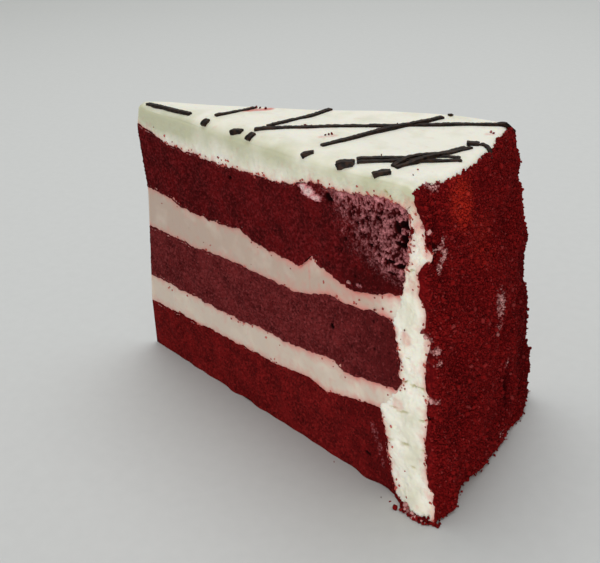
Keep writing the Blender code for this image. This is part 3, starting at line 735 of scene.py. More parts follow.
# Colour on the icing: pink beside the sponges and at its rim, with the reach of each, and painted shade in
# greenish yellow along the near top edge and up the cuts. An "Edge" is between which shares of its reach a
# spot fades
icingColour = {
    "seamBlush": 0.90, "seamWidth": 0.0004, "seamReach": 0.0012,
    "rimReach": 0.0014, "rimTop": (0.001, -0.002),
    "stainEdge": (0.3, 1.2), "streakEdge": (0.1, 1.2), "shadeAndTintSpotEdge": (0.2, 1.3),
    "topShade": 0.9, "topShadeReach": 0.0035, "leastShade": 0.15, "shadeFrom": (0.079, 0.087),
    # crumbs on it: how far from the sponges and from the rim, in what patches, and the few anywhere else
    "strewnSeam": 0.0007, "strewnRim": 0.0006, "strewnGaps": (-0.50, 0.35), "strewnGapSize": 0.0030,
    "strayShare": 0.0015, "strewnBelow": 0.0012,
    # pink streaks on the top: two ends from the cake's centre, width and strength
    "streaks": [((43.0, 4.8), (48.4, 10.0), 2.2, 0.95), ((67.3, -2.4), (71.0, -0.4), 2.0, 0.95),
                ((76.9, -6.8), (80.1, -4.3), 1.2, 0.5), ((115.0, 15.5), (118.5, 17.5), 1.4, 0.4)],
    # pink spots on the near cut: distance from the centre, height and reach both ways, and strength
    "stains": [(117.4, 50.0, 2.6, 2.6, 0.5), (121.2, 80.6, 3.4, 2.8, 0.62), (124.0, 74.6, 2.2, 2.0, 0.66),
               (114.6, 29.4, 3.0, 2.4, 0.44), (119.6, 65.5, 2.4, 3.0, 0.5), (116.8, 63.6, 2.4, 1.6, 0.5),
               (124.4, 50.0, 2.0, 3.0, 0.55), (119.6, 69.0, 3.0, 13.0, 0.22)],
    # greenish yellow spots, likewise: the long one along the top edge by the tip is painted shade, the others
    # lower down are yellower places
    "shadeAndTintSpots": [(119.5, 18.0, 3.4, 13.0, 0.26), (122.0, 8.0, 3.0, 5.0, 0.2), (119.0, 57.0, 2.2, 4.0, 0.4),
               (20.0, 86.5, 36.0, 6.0, 1.3)],
}
# Cracks in the side's cut icing: two ends as (distance from the centre, height), then width and depth, in mm
cracks = [((116.0, 37.0), (118.0, 37.7), 0.5, 1.2), ((119.0, 36.9), (120.9, 37.6), 0.5, 1.1),
          ((120.9, 37.6), (123.6, 37.9), 0.42, 0.9), ((122.0, 28.0), (123.8, 28.8), 0.55, 0.8),
          ((123.8, 28.8), (125.8, 29.9), 0.42, 0.9), ((115.7, 17.5), (118.8, 18.9), 0.75, 0.4),
          ((122.5, 19.0), (124.4, 19.7), 0.45, 0.6), ((111.2, 16.8), (113.3, 17.8), 0.4, 0.4),
          ((114.3, 27.1), (118.7, 28.7), 0.36, 0.3), ((111.9, 27.2), (114.7, 28.2), 0.36, 0.3),
          ((118.2, 68.8), (120.6, 69.4), 0.36, 0.4), ((110.5, 87.5), (111.4, 86.7), 0.5, 0.8),
          ((112.3, 86.0), (112.9, 85.5), 0.5, 0.8), ((114.3, 84.9), (114.9, 84.5), 0.5, 0.8),
          ((117.5, 44.5), (118.6, 44.8), 0.36, 0.3), ((119.5, 12.4), (120.8, 12.6), 0.36, 0.3)]


def topHeight(radius, sideways):
    size = cake["topWaveSize"]
    height = cake["top"] + cake["topWave"] * (waves(size, 9, radius, sideways * size) - 0.5)
    for name, side in (("near", -1), ("far", 1)):
        byCut = fading(fromCut(radius, side * sideways), cake[name + "Reach"]) ** 2
        height = height + (read(cake[name + "Top"], radius, blur=0.003) - cake["top"]) * byCut
    return height


def evenRadius(height, sideways):
    near, far = (1 - sideways) / 2, (1 + sideways) / 2
    rise = np.maximum(0.0, (height - cake["farLeanStart"]) / (icingShoulder - cake["farLeanStart"]))
    tuck = read(cake["footTuck"], sideways, blur=0.05) / 1000
    radius = read(cake["icingEdge"], height, blur=0.0015) - tuck * fading(height, cake["footTuckHeight"])
    radius = radius - cake["farLean"] * far * np.minimum(1.0, 2 * rise)
    return radius - cake["nearCornerTuck"] * near ** 6 * rise ** 4


def borderSwell(height, sideways):
    # how far the uneven border stands out from the even side
    radius = evenRadius(height, sideways)
    share = fading(fromCut(radius, -sideways), cake["nearBorderReach"]) ** 2
    return (read(cake["nearBorder"], height, blur=0.0004) - radius) * share


def icingRadius(height, sideways):
    return evenRadius(height, sideways) + borderSwell(height, sideways)


def edgeRound(radius):
    return np.minimum(icingShape["edgeRound"], 0.5 * radius * math.sin(halfAngle))


def roundTop(radius, sideways):
    # how far a point of the top moves in from its cut and down, to round the edge there
    toCut, size = fromCut(radius, np.abs(sideways)), edgeRound(radius)
    turn = math.pi / 4 * np.clip(1 - toCut / size, 0.0, 1.0)
    inward = np.where(toCut < size, size * (1 - np.sin(turn)) - toCut, 0.0)
    return inward, size * (1 - np.cos(turn))


def shoulderLine(sideways):
    # the icing's corner above its side: inner end of the round, outer end, and the height of the inner end
    outer = icingRadius(icingShoulder, sideways)
    inner = outer - icingShape["shoulderRound"]
    return inner, outer, topHeight(inner, sideways)


def roundedTop(radius, sideways):
    # height of the top with its round shoulder
    inner, outer, height = shoulderLine(sideways)
    over = np.clip((radius - inner) / (outer - inner), 0.0, 1.0)
    shoulder = icingShoulder + (height - icingShoulder) * np.sqrt(1 - over ** 2)
    return np.where(radius > inner, shoulder, topHeight(radius, sideways))


def topSurface(radius, sideways):
    # and with its round edges at the cuts
    return roundedTop(radius, sideways) - roundTop(radius, sideways)[1]


def makeIcing():
    shape, colour = icingShape, icingColour
    top, corner, side = shape["topColumns"], shape["cornerColumns"], shape["sideColumns"]
    steps = shape["sideways"]
    cells = (top + corner + side, len(steps) - 1, shape["rows"])
    i, j, k, faces = skinBlock(cells)
    t = steps[None, :]
    inner, outer, height = shoulderLine(t)
    outSteps = ((np.arange(top + 1) / top) ** shape["bunching"])[:, None]
    turn = (np.arange(1, corner + 1) / corner * math.pi / 2)[:, None]
    down = (np.arange(1, side + 1) / side)[:, None]
    topR = mix(read(cake["tip"], cake["top"]), inner, outSteps)
    sideZ = mix(icingShoulder, icingFoot, down) + 0 * t
    cornerR, cornerZ = mix(inner, outer, np.sin(turn)), mix(icingShoulder, height, np.cos(turn))
    outerR = np.concatenate([topR, cornerR, icingRadius(sideZ, t)])
    outerZ = np.concatenate([topHeight(topR, t), cornerZ, sideZ])
    # the hidden side follows the top seam, the last of it under the corner, then the sponges' ends
    last = shape["underCorner"]
    share = np.concatenate([outSteps * (1 - last), 1 - last + last * turn / (math.pi / 2)])
    underZ = seamHeight(5, share, t)
    underR = mix(read(cake["tip"], underZ, blur=0.002), spongeEdge(underZ, t), share)
    endZ = mix(underZ[-1:], icingFoot, down)
    innerZ = np.concatenate([underZ - shape["underlap"], endZ])
    innerR = np.concatenate([underR, spongeEdge(endZ, t) - shape["underlap"]])
    depth, sideways = k / cells[2], steps[j]
    radius, z = mix(innerR[i, j], outerR[i, j], depth), mix(innerZ[i, j], outerZ[i, j], depth)
    onCut, onNear, onSide = np.abs(sideways) == 1, sideways == -1, i > top
    onTop = (k == cells[2]) & (i <= top + corner)
    # knife strokes, which run outwards
    flat = onPlan(radius, sideways, z)
    for n, (length, width, deep) in enumerate(shape["strokes"]):
        z = z + deep * waves(1.0, 30 + n, flat[:, 0] / length, flat[:, 1] / width) * (onTop & ~onSide)
    points = onPlan(radius, sideways, z)
    normal = cutNormal(sideways)
    awayFromCut = -cutNormal(np.sign(sideways + 1e-9))
    inward, sink = roundTop(radius, sideways)
    fade = np.clip((top + corner - i) / corner, 0.0, 1.0) * (onTop & ~onCut)
    points += awayFromCut * (inward * fade)[:, None]
    points[:, 2] -= sink * fade
    below, size = np.maximum(0.0, topHeight(radius, sideways) - z), edgeRound(radius)
    turnIn = math.pi / 4 * (1 + np.clip(below / size, 0.0, 1.0))
    edgeIn = np.where(below < size, size * (1 - np.sin(turnIn)), 0.0) * onCut
    edgeDown = np.where(below < size, size * (1 - np.cos(turnIn)) - below, 0.0) * onCut
    points -= normal * edgeIn[:, None]
    points[:, 2] -= edgeDown
    points += crag(layerShape["creamCrag"], radius, z, sideways) * ease(*shape["cragReach"], below)[:, None]
    lowered = drop(sideways, z) * onSide
    points[:, 2] -= lowered
    points += slump(radius, sideways, z - lowered) * (onSide & (depth > 0))[:, None]
    # the inner edge dives behind the sponge
    toInner = depth * np.hypot(outerR[i, j] - innerR[i, j], outerZ[i, j] - innerZ[i, j])
    recess = dive(toInner) + shape["recessShare"] * layerShape["creamRecess"]
    flatTip = ease(*layerShape["flatTip"], radius)
    points -= normal * (recess * flatTip)[:, None]
    crack, dug = np.zeros(len(i)), np.zeros(len(i))
    wobble = sum(deep * waves(size, 80 + n, radius, z) for n, (size, deep) in enumerate(shape["crackWaves"]))
    shadeLeast, shadeMore = shape["crackShade"]
    for *ends, width, deep in cracks:
        nearest, aside, above = toLine(radius * 1000, z * 1000, ends)
        opened = (1 - ease(*shape["crackEdge"], np.hypot(aside, above + wobble) / width)) * onNear
        opened = opened * mix(shape["crackEnds"], 1.0, np.sin(nearest * 3.1))      # narrow at both ends
        # painted shade in the crack, stronger the deeper it is
        crack = np.maximum(crack, min(1.0, shadeLeast + shadeMore * deep) * opened)
        dug += shape["crackDig"] * deep * opened
    points -= normal * dug[:, None] * 0.001

    # it is stained beside the sponges and the crumbs, not where it joins the fillings
    toOuter = np.where(onSide, (1 - depth) * (outerR - innerR)[i, j], 1.0).clip(0)
    seams = [seamHeight(seam, np.ones_like(steps), steps)[j] for seam in (1, 2, 3, 4)]
    besideFilling = ((z > seams[0]) & (z < seams[1]) | (z > seams[2]) & (z < seams[3])) & onSide
    toSponge = (toInner - colour["seamWidth"]).clip(0)
    stainedEdge = np.exp(-toSponge / colour["seamReach"]) * ~besideFilling
    stainedRim = np.exp(-toOuter / colour["rimReach"]) * ease(*colour["rimTop"], z - icingShoulder)
    blush = np.maximum(colour["seamBlush"] * stainedEdge, stainedRim) * onCut
    blush[k == 0] = 1.0
    for *place, strength in colour["stains"]:
        blush = np.maximum(blush, strength * cutSpot(radius, sideways, z, place, colour["stainEdge"]))
    for *ends, wide, strength in colour["streaks"]:
        aside = np.hypot(*toLine((points[:, 0] - centreX) * 1000, points[:, 1] * 1000, ends)[1:]) / wide
        streak = (1 - ease(*colour["streakEdge"], aside)) * (onTop & ~onCut)
        blush = np.maximum(blush, strength * streak)
    # painted shade in greenish yellow along the near top edge, growing towards the top of the cuts, and
    # greenish yellow spots below
    least = colour["leastShade"]
    edgeShade = colour["topShade"] * np.exp(-fromCut(radius, -sideways) / colour["topShadeReach"])
    oily = np.where(onTop & ~onCut, edgeShade, mix(least, 1.0, ease(*colour["shadeFrom"], z)) * onCut)
    for *place, strength in colour["shadeAndTintSpots"]:
        more = strength * cutSpot(radius, sideways, z, place, colour["shadeAndTintSpotEdge"])
        oily = np.maximum(oily, least * onNear + more)
    besideRed = np.maximum(np.exp(-toSponge / colour["strewnSeam"]) * ~besideFilling,
                           np.exp(-toOuter / colour["strewnRim"]) * (z - icingShoulder < colour["rimTop"][0]))
    gaps = ease(*colour["strewnGaps"], waves(colour["strewnGapSize"], 29, radius, z))
    strewn = (besideRed * gaps + colour["strayShare"] * onSide) * onCut * (below > colour["strewnBelow"])
    fine = flatTip * ease(*shape["fineReach"], below)
    piece = addMesh("icing", points, faces, push=normal * fine[:, None], blush=blush, crack=crack, dug=dug,
                    oily=oily, open=np.where(onSide, shape["openSide"], shape["open"]),
                    strewn=strewn * ease(*layerColour["strewnStart"], radius))
    piece = runTree(piece, reliefTree, **reliefs["icing"], Material=materials["icing"])
    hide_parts("frosting")
    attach(piece, "root")
    return piece


icingPiece = makeIcing()
print("icing made")

# The crumbs pressed onto the side, first as one thick skin
coatShape = {
    "footRows": 16, "sideRows": 190, "rimRows": 14, "turnRows": 3, "across": 150, "rows": 3,
    "sideFrom": 0.3,            # the side starts at this share of the icing's own start
    "least": 0.0008, "most": 0.0030, "thinned": (0.066, 0.078, 0.6),        # thinner between two heights
    "lump": 0.011, "level": 0.55, "lumpSpan": (-0.1, 1.1),
    # level bulges and dents at the far cut: (height, how much thicker it is)
    "relief": metres((0, -0.5), (4, 0.7), (7, 0), (10, 1.3), (16.5, 1.3), (20.5, -0.5), (24, -0.1), (30, 0.9),
                     (35, 0.3), (39, -0.8), (41.5, -1.8), (45, -0.4), (58, 0), (64, 1.3), (70, 2.1),
                     (73.5, 0.3), (77, 0.9), (81, -0.3), (87.5, 0)),
    "crumbRoom": 0.00035,       # the skin lies this much lower, as room for the loose crumbs on it
    "bedding": 0.0006,          # how deep it is pressed into the icing
    "rim": 0.0007,              # its thickness on the top's edge
    # how far in from the shoulder it reaches on top: (sideways, reach in mm)
    "rimReach": [(-1.0, 0.3), (-0.94, 1.2), (-0.89, 2.1), (-0.76, 1.2), (-0.66, 0.5), (-0.6, 0.4), (0.3, 0.5),
                 (0.45, 1.2), (0.6, 0.4), (1.0, 0.3)],
    "rimFray": 0.0006, "rimFraySize": 0.0011, "frayWidth": 0.030, "frayShare": 0.6, "leastRim": 0.0002,
    "rimBlend": (0.0, 0.5), "rimRound": 1.04,               # how its thickness turns into the rim's and ends
    "spill": [(0.0024, 0.00048), (0.0010, 0.00054)],    # how its crumbs spread onto the cuts: (size, depth)
    "thinFootReach": 0.004,     # its foot is thin this near the cuts, and uneven
    "thinFootWave": 0.0012,
    "proud": 0.0002,
    "open": -0.03,
    "cutPush": 0.7,             # how much of the relief its cuts have, and none at the foot
    "footReach": (0.0, 0.0015),
    "strewnFrom": 0.0004,
    # bare places on the side, and pits in it: (sideways, height, reach across, reach up), in mm but the first
    "bare": [(-1.0, 74.3, 3.6, 1.9), (1.0, 89, 5.0, 3.6)],
    "bareDepth": 0.0016,
    "pits": [(-0.905, 73.8, 1.3, 3.6), (-0.985, 30.3, 0.8, 0.9), (0.23, 18, 0.9, 7.0)],
    # pits are thin, and pitShade goes into their dug, so the material paints them with shade
    "pitThickness": 0.0002, "pitShade": 1.2,
    "bareEdge": (0.55, 1.0), "bareWobble": 0.35, "bareWobbleSize": 0.0022, "halfWidth": 0.0316,
    # places where cream was rubbed on, likewise, with how much of it there is
    "smears": [(-0.02, 49.5, 3.2, 5.0, 0.75), (-0.05, 42.5, 2.2, 2.4, 0.5), (0.19, 27.5, 1.6, 1.2, 0.6),
               (0.16, 4, 1.6, 2.0, 0.6), (-0.975, 49.8, 1.3, 1.2, 1.0), (-0.97, 46.6, 1.2, 1.0, 0.95),
               (-0.88, 74.7, 1.3, 1.3, 1.0), (-0.8, 72.4, 1.5, 2.2, 1.0), (-0.82, 69.6, 1.3, 2.8, 1.0),
               (-0.82, 76.6, 0.9, 1.6, 0.95), (-1.0, 53, 0.8, 1.2, 0.9), (-1.0, 36, 1.4, 1.0, 0.9),
               (-0.8, 89.3, 2.8, 1.4, 0.85)],
    "smearEdge": (0.3, 1.2),
    # painted highlight and shade, likewise: brighter, orange places stand for highlight and darker ones for
    # shade, the darkest a painted shadow down the broad dent
    "tints": [(-0.5, 82.5, 7.0, 8.5, 1.1), (-0.2, 70, 9.0, 9.0, 0.35), (-0.92, 78, 4.0, 9.0, -0.4),
              (0.85, 30, 14.0, 40.0, -0.8), (-0.62, 30, 7.0, 12.0, -0.45), (-0.05, 12, 12.0, 10.0, -0.3),
              (0.95, 64, 5.0, 9.0, 0.5), (0.22, 19, 3.6, 13.0, -1.0)],
    # broad dents, likewise, with their depth in mm
    "dents": [(0.22, 19, 2.8, 11.0, 1.6), (0.34, 7, 2.6, 6.0, 1.2)],
    "dentEdge": (0.0, 1.2),
}


def coatThickness(radius, sideways, height):
    shape = coatShape
    thinFrom, thinTo, thinShare = shape["thinned"]
    lump = shape["level"] + waves(shape["lump"], 5, sideways * halfAngle * radius, height)
    most = shape["most"] * mix(1, thinShare, np.clip((height - thinFrom) / (thinTo - thinFrom), 0, 1))
    thickness = mix(shape["least"], most, ease(*shape["lumpSpan"], lump))
    thickness = thickness + read(shape["relief"], height, blur=0.0008) * np.maximum(0.0, sideways) ** 2
    for *place, deep in shape["dents"]:
        thickness = thickness - deep / 1000 * sideSpot(sideways, height, place, shape["dentEdge"])
    return np.maximum(shape["least"], thickness - borderSwell(height, sideways))


def makeCoat():
    shape = coatShape
    foot, side, rim, turnRows = shape["footRows"], shape["sideRows"], shape["rimRows"], shape["turnRows"]
    steps = np.linspace(-1.0, 1.0, shape["across"] + 1)
    cells = (foot + side + rim, shape["across"], shape["rows"])
    i, j, k, faces = skinBlock(cells)
    t = steps[None, :]
    # lines of the icing's skin, from under its foot up the side and onto its top
    across = t * shape["frayWidth"]
    fray = jagged(90, across) + shape["rimFray"] * waves(shape["rimFraySize"], 93, across)
    footIn = cake["spongeEdge"][0][1] - shape["bedding"]
    footR = mix(footIn, icingRadius(icingFoot, t), (np.arange(foot) / foot)[:, None])
    sideZ = mix(icingFoot * shape["sideFrom"], icingShoulder, (np.arange(side + 1) / side)[:, None]) + 0 * t
    sideR = icingRadius(np.maximum(sideZ, icingFoot), t)
    inShare = (np.arange(1, rim + 1) / rim)[:, None]
    rimReach = read(shape["rimReach"], t, blur=0.03) / 1000 + shape["frayShare"] * fray
    rimReach = rimReach.clip(shape["leastRim"])
    rimR = icingRadius(icingShoulder, t) - rimReach * inShare
    lineR = np.concatenate([footR, sideR, rimR])
    lineZ = np.concatenate([footR * 0 + icingFoot, sideZ, roundedTop(rimR, t)])
    # directions out of the icing's skin, in the upright plane
    alongR, alongZ = np.gradient(lineR, axis=0), np.gradient(lineZ, axis=0)
    length = np.hypot(alongR, alongZ) + 1e-12
    outR, outZ = alongZ / length, -alongR / length
    outR[:foot], outZ[:foot] = 0.0, -1.0
    for row in range(turnRows):
        turn = (row + 1) / (turnRows + 1) * math.pi / 2
        outR[foot + row], outZ[foot + row] = math.sin(turn), -math.cos(turn)
    thick = coatThickness(lineR, t, lineZ)
    thick[:foot] = icingFoot
    rimThick = mix(thick[-rim - 1], shape["rim"], ease(*shape["rimBlend"], inShare))
    thick[-rim:] = rimThick * np.sqrt(shape["rimRound"] - inShare ** 2)
    wobble = shape["bareWobble"] * waves(shape["bareWobbleSize"], 70, t * shape["halfWidth"], lineZ)
    bare, pits = (sum(sideSpot(t, lineZ, place, shape["bareEdge"], wobble) for place in shape[key]).clip(0, 1)
                  for key in ("bare", "pits"))
    thick[foot:] -= shape["crumbRoom"]
    thick = mix(mix(thick, shape["pitThickness"], pits), -shape["bareDepth"], bare)
    bare, pits = bare[i, j], pits[i, j]
    radius0, z0 = lineR[i, j], lineZ[i, j]
    depth, sideways = k / cells[2], steps[j]
    # the skin starts inside the icing and ends proud of it
    outward = mix(-shape["bedding"] - shape["bareDepth"] * bare, thick[i, j], depth)
    onCut, onSide = np.abs(sideways) == 1, i >= foot
    spread = sum(far * waves(size, 95 + n, z0, radius0) for n, (size, far) in enumerate(shape["spill"]))
    outward = outward + (shape["bedding"] - spread) * (onCut & onSide) * (1 - depth) * (1 - bare)
    uneven = 1 + cake["footDropUneven"] * waves(shape["thinFootWave"], 97, radius0, z0)
    byCut = fading(fromCut(radius0, np.abs(sideways)), shape["thinFootReach"])
    outward = outward + (shape["bedding"] + cake["footDrop"] * uneven) * byCut * ~onSide * (1 - depth)
    radius, z = radius0 + outR[i, j] * outward, np.maximum(z0 + outZ[i, j] * outward, 0.0)
    normal = cutNormal(sideways)
    points = onPlan(radius, sideways, z) + slump(radius, sideways, z)
    points += normal * (shape["proud"] - shape["bareDepth"] * bare)[:, None]
    angle = sideways * halfAngle
    out = np.stack([outR[i, j] * np.cos(angle), outR[i, j] * np.sin(angle), outZ[i, j]], -1)
    onSkin = (k == cells[2]) & (i > foot)
    push = np.where(onSkin[:, None], out, 0.0) + normal * shape["cutPush"]
    push *= ease(*shape["footReach"], z)[:, None]
    smear, warm = np.zeros(len(i)), np.zeros(len(i))
    for *place, strength in shape["smears"]:
        smear = np.maximum(smear, strength * sideSpot(sideways, z, place, shape["smearEdge"]))
    # painted highlight and shade
    for *place, strength in shape["tints"]:
        warm += strength * sideSpot(sideways, z, place, shape["smearEdge"])
    strewn = onSkin * (z > shape["strewnFrom"]) * (1 - bare) * (1 - pits)
    piece = addMesh("crumbCoat", points, faces, push=push, smear=smear, warm=warm, strewn=strewn,
                    dug=shape["pitShade"] * pits, open=np.full(len(i), shape["open"]))
    piece = runTree(piece, reliefTree, **reliefs["coat"], Material=materials["coat"])
    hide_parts("crumb_coat")
    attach(piece, "root")
    return piece


coatPiece = makeCoat()
print("crumb coat made")


def makeCrumbTree(name, isStrewn):
    # small rough crumbs, strewn over a skin where its "strewn" is above nought, or one at each of its corners
    tree, add, given = newTree(name, "Spacing", "Size", "Sink", Detail="Int", Seed="Int")
    sized = add("RandomValue", {(0, 1): (0.7, 1.3), "Seed": given["Seed"]}, data_type="FLOAT")
    if isStrewn:
        # more points than there is room for, so that the spacing alone thins them
        area = add("Math", {0: given["Spacing"], 1: given["Spacing"]}, operation="MULTIPLY")
        density = add("Math", {0: 1.2, 1: area}, operation="DIVIDE")
        strewn = add("InputNamedAttribute", {"Name": "strewn"}, data_type="FLOAT")
        spots = add("DistributePointsOnFaces", {
            0: given["Geometry"], "Distance Min": given["Spacing"], "Density Max": density,
            "Density Factor": strewn, "Seed": given["Seed"]}, distribute_method="POISSON")
        inward = add("Math", {0: given["Sink"], 1: given["Size"]}, operation="MULTIPLY")
        back = add("Math", {0: inward, 1: -1.0}, operation="MULTIPLY")
        sunk = add("VectorMath", {0: spots.outputs["Normal"], "Scale": back}, operation="SCALE")
        placed = add("SetPosition", {0: spots.outputs["Points"], "Offset": sunk})
    else:
        placed = add("MeshToPoints", {0: given["Geometry"]})
        sized = add("InputNamedAttribute", {"Name": "size"}, data_type="FLOAT")
    toned = add("RandomValue", {"Seed": given["Seed"]}, data_type="FLOAT")
    noted = add("StoreNamedAttribute", {0: placed, "Name": "tone", "Value": toned}, data_type="FLOAT",
                domain="POINT")
    radius = add("Math", {0: given["Size"], 1: 0.5}, operation="MULTIPLY")
    ball = add("MeshIcoSphere", {"Radius": radius, "Subdivisions": given["Detail"]})
    # each is squashed and turned its own way
    squash, turn = (add("RandomValue", {(0, 1): ((low,) * 3, (high,) * 3), "Seed": given["Seed"]},
                        data_type="FLOAT_VECTOR") for low, high in ((0.60, 1.25), (0.0, 6.28)))
    scaled = add("VectorMath", {0: squash, "Scale": sized}, operation="SCALE")
    crumbs = add("InstanceOnPoints", {0: noted, "Instance": ball.outputs["Mesh"], "Rotation": turn,
                                      "Scale": scaled})
    real = add("RealizeInstances", {0: crumbs})
    place = add("InputPosition")
    fineness = add("Math", {0: 1.6, 1: given["Size"]}, operation="DIVIDE")      # knobs smaller than the crumb
    knobs = add("TexNoise", {"Vector": place, "Scale": fineness, "Detail": 1.0})
    centred = add("VectorMath", {0: knobs.outputs["Color"], 1: (0.5, 0.5, 0.5)}, operation="SUBTRACT")
    knobby = add("VectorMath", {0: centred, "Scale": given["Size"]}, operation="SCALE")
    rough = add("SetPosition", {0: real, "Offset": knobby})
    # none goes under the table
    where = add("SeparateXYZ", {0: place}).outputs
    lifted = add("Math", {0: where[2], 1: 0.0}, operation="MAXIMUM")
    kept = add("CombineXYZ", {(0, 1, 2): (where[0], where[1], lifted)})
    resting = add("SetPosition", {0: rough, "Position": kept})
    endTree(add, add("SetShadeSmooth", {0: resting, "Shade Smooth": True}), given["Material"])
    return tree


strewnTree, placedTree = makeCrumbTree("strewnCrumbs", True), makeCrumbTree("placedCrumbs", False)
# Each piece: what it lies on, its material, then the tree's inputs
onCoat = {"Spacing": 0.00064, "Size": 0.00053, "Detail": 1, "Sink": 0.12}
onCream = {"Spacing": 0.00060, "Size": 0.00066, "Detail": 2, "Sink": 0.15}
strewnCrumbs = {
    **{f"pressedCrumbs{n}": (coatPiece, "crumb", onCoat | {"Seed": 2 + n}) for n in (1, 2, 3, 4)},
    "coarseCrumbs": (coatPiece, "crumb", {"Spacing": 0.0017, "Size": 0.00095, "Detail": 2, "Sink": 0.25,
                                          "Seed": 12}),
    "crumbsOnLowerCream": (layerPieces["creamLower"], "strewnCrumb", onCream | {"Seed": 21}),
    "crumbsOnUpperCream": (layerPieces["creamUpper"], "strewnCrumb", onCream | {"Seed": 22}),
    "crumbsOnIcing": (icingPiece, "strewnCrumb", onCream | {"Spacing": 0.00052, "Size": 0.00070, "Seed": 23}),
}


def strewCrumbs(name, host, material, values):
    # crumbs over a copy of the host's skin
    piece = runTree(addObject(name, host.data.copy()), strewnTree, Material=materials[material], **values)
    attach(piece, "root")
    print(" ", name, len(piece.data.polygons), "faces")


for name, (host, material, values) in strewnCrumbs.items():
    strewCrumbs(name, host, material, values)

looseShape = {
    # on the top: mm outwards and sideways from the cake's centre, and size in mm
    "onTop": [(67.8, -0.4, 1.0), (68.8, -1, 0.8), (70, -0.8, 1.1), (70.9, -1.3, 0.7), (77.4, -5.5, 0.5),
              (78.7, -4, 0.7), (78, -4.6, 0.5), (111.7, -21.9, 0.5), (111.3, -18.4, 0.5), (118.6, -21.3, 0.6),
              (115.6, 16.9, 0.9), (116.6, 16.3, 0.8), (115.3, 6.6, 0.5), (42.5, 5.8, 0.8), (43.4, 7.5, 0.9),
              (44.3, 9, 0.8), (47.4, 9.3, 0.7), (45.5, 9.2, 0.6), (98.6, -13.2, 0.4), (90.2, 12.1, 0.4)],
    "topCream": 0.25,           # how creamy those are
    "topLift": 0.0002,          # for 1 mm of size
    "creamGain": 1.3,
    # by the near cut: mm along it from the centre, out of it and up, size in mm, and how creamy
    "byCut": [(119.3, 0.1, 79.4, 1.2, 0.1), (122.3, 0.1, 81.3, 1.0, 0.4), (124.2, 0.0, 80.6, 1.1, 0.8),
              (122.9, 0.0, 54.1, 1.1, 0.5), (123.8, 0.0, 53.1, 1.2, 0.8), (115.6, 0.1, 42.4, 0.5, 0.0),
              (126.0, 0.0, 35.9, 1.3, 0.9), (119.8, 0.0, 75.8, 0.6, 0.4), (118.6, 0.0, 77.2, 0.6, 0.4),
              (98.3, 0.1, 58.6, 1.2, 0.7), (117.2, 0.1, 52.3, 0.5, 0.0), (113.0, 0.1, 53.4, 0.5, 0.2),
              (107.3, 0.1, 54.0, 0.6, 0.2), (117.0, 0.8, 0.4, 0.9, 0.0), (118.1, 1.7, 0.5, 1.2, 0.0),
              (119.3, 2.6, 0.5, 1.3, 0.2), (119.3, 3.4, 0.4, 1.1, 0.0), (120.3, 3.5, 0.4, 1.0, 0.0),
              (119.5, 1.9, 1.2, 1.4, 0.8), (120.5, 2.4, 0.9, 1.3, 0.3), (120.2, 3.0, 0.6, 1.4, 0.9),
              (121.2, 3.0, 0.8, 1.4, 0.9), (121.8, 3.6, 0.3, 1.0, 0.0), (122.8, 3.7, 0.3, 0.9, 0.0),
              (123.7, 3.7, 0.3, 0.9, 0.1), (124.6, 3.6, 0.3, 0.8, 0.0), (125.5, 3.5, 0.3, 0.9, 0.0),
              (126.5, 3.3, 0.3, 0.9, 0.0), (127.2, 2.8, 0.3, 0.8, 0.1), (127.7, 2.3, 0.3, 0.8, 0.0),
              (128.2, 1.7, 0.3, 0.8, 0.0), (129.0, 1.3, 0.4, 1.0, 0.0), (122.6, 3.0, 0.8, 1.1, 0.9),
              (124.0, 3.2, 0.6, 0.9, 0.8), (117.6, 1.2, 0.4, 1.0, 0.0), (118.7, 2.2, 0.4, 1.1, 0.0),
              (126.3, 2.6, 1.4, 0.9, 0.3), (127.3, 2.1, 1.7, 0.9, 0.2), (126.9, 2.3, 0.9, 0.8, 0.4),
              (117.7, 4.1, 0.5, 1.6, 0.0), (114.9, 3.0, 0.2, 0.5, 0.0), (93.0, 2.2, 0.2, 0.4, 0.0),
              (116.2, 0.5, 1.0, 0.8, 0.1), (129.6, 0.4, 0.3, 0.8, 0.0), (112.2, 3.4, 0.2, 0.4, 0.0)],
    # along the crumbed side's foot: how many, how far out they reach, sizes in mm, and the height at which
    # the side tells how far out they lie
    "atFoot": {"crumbs": 26, "reach": 0.0003, "sizes": (0.3, 0.6), "seed": 6, "lift": 0.0003,
               "sideAt": 0.002},
    # and where it has slumped out of the cuts: the same, from where to where, two in three at the near cut,
    # and one in four creamy
    "atSlump": {"crumbs": 190, "along": (0.1165, 0.1300), "reach": 0.0007, "inwards": -0.6,
                "sizes": (0.35, 0.9), "seed": 8, "heights": (0.0001, 0.0007), "cuts": [1, 1, -1],
                "creams": [0, 0, 0, 0.7]},
}


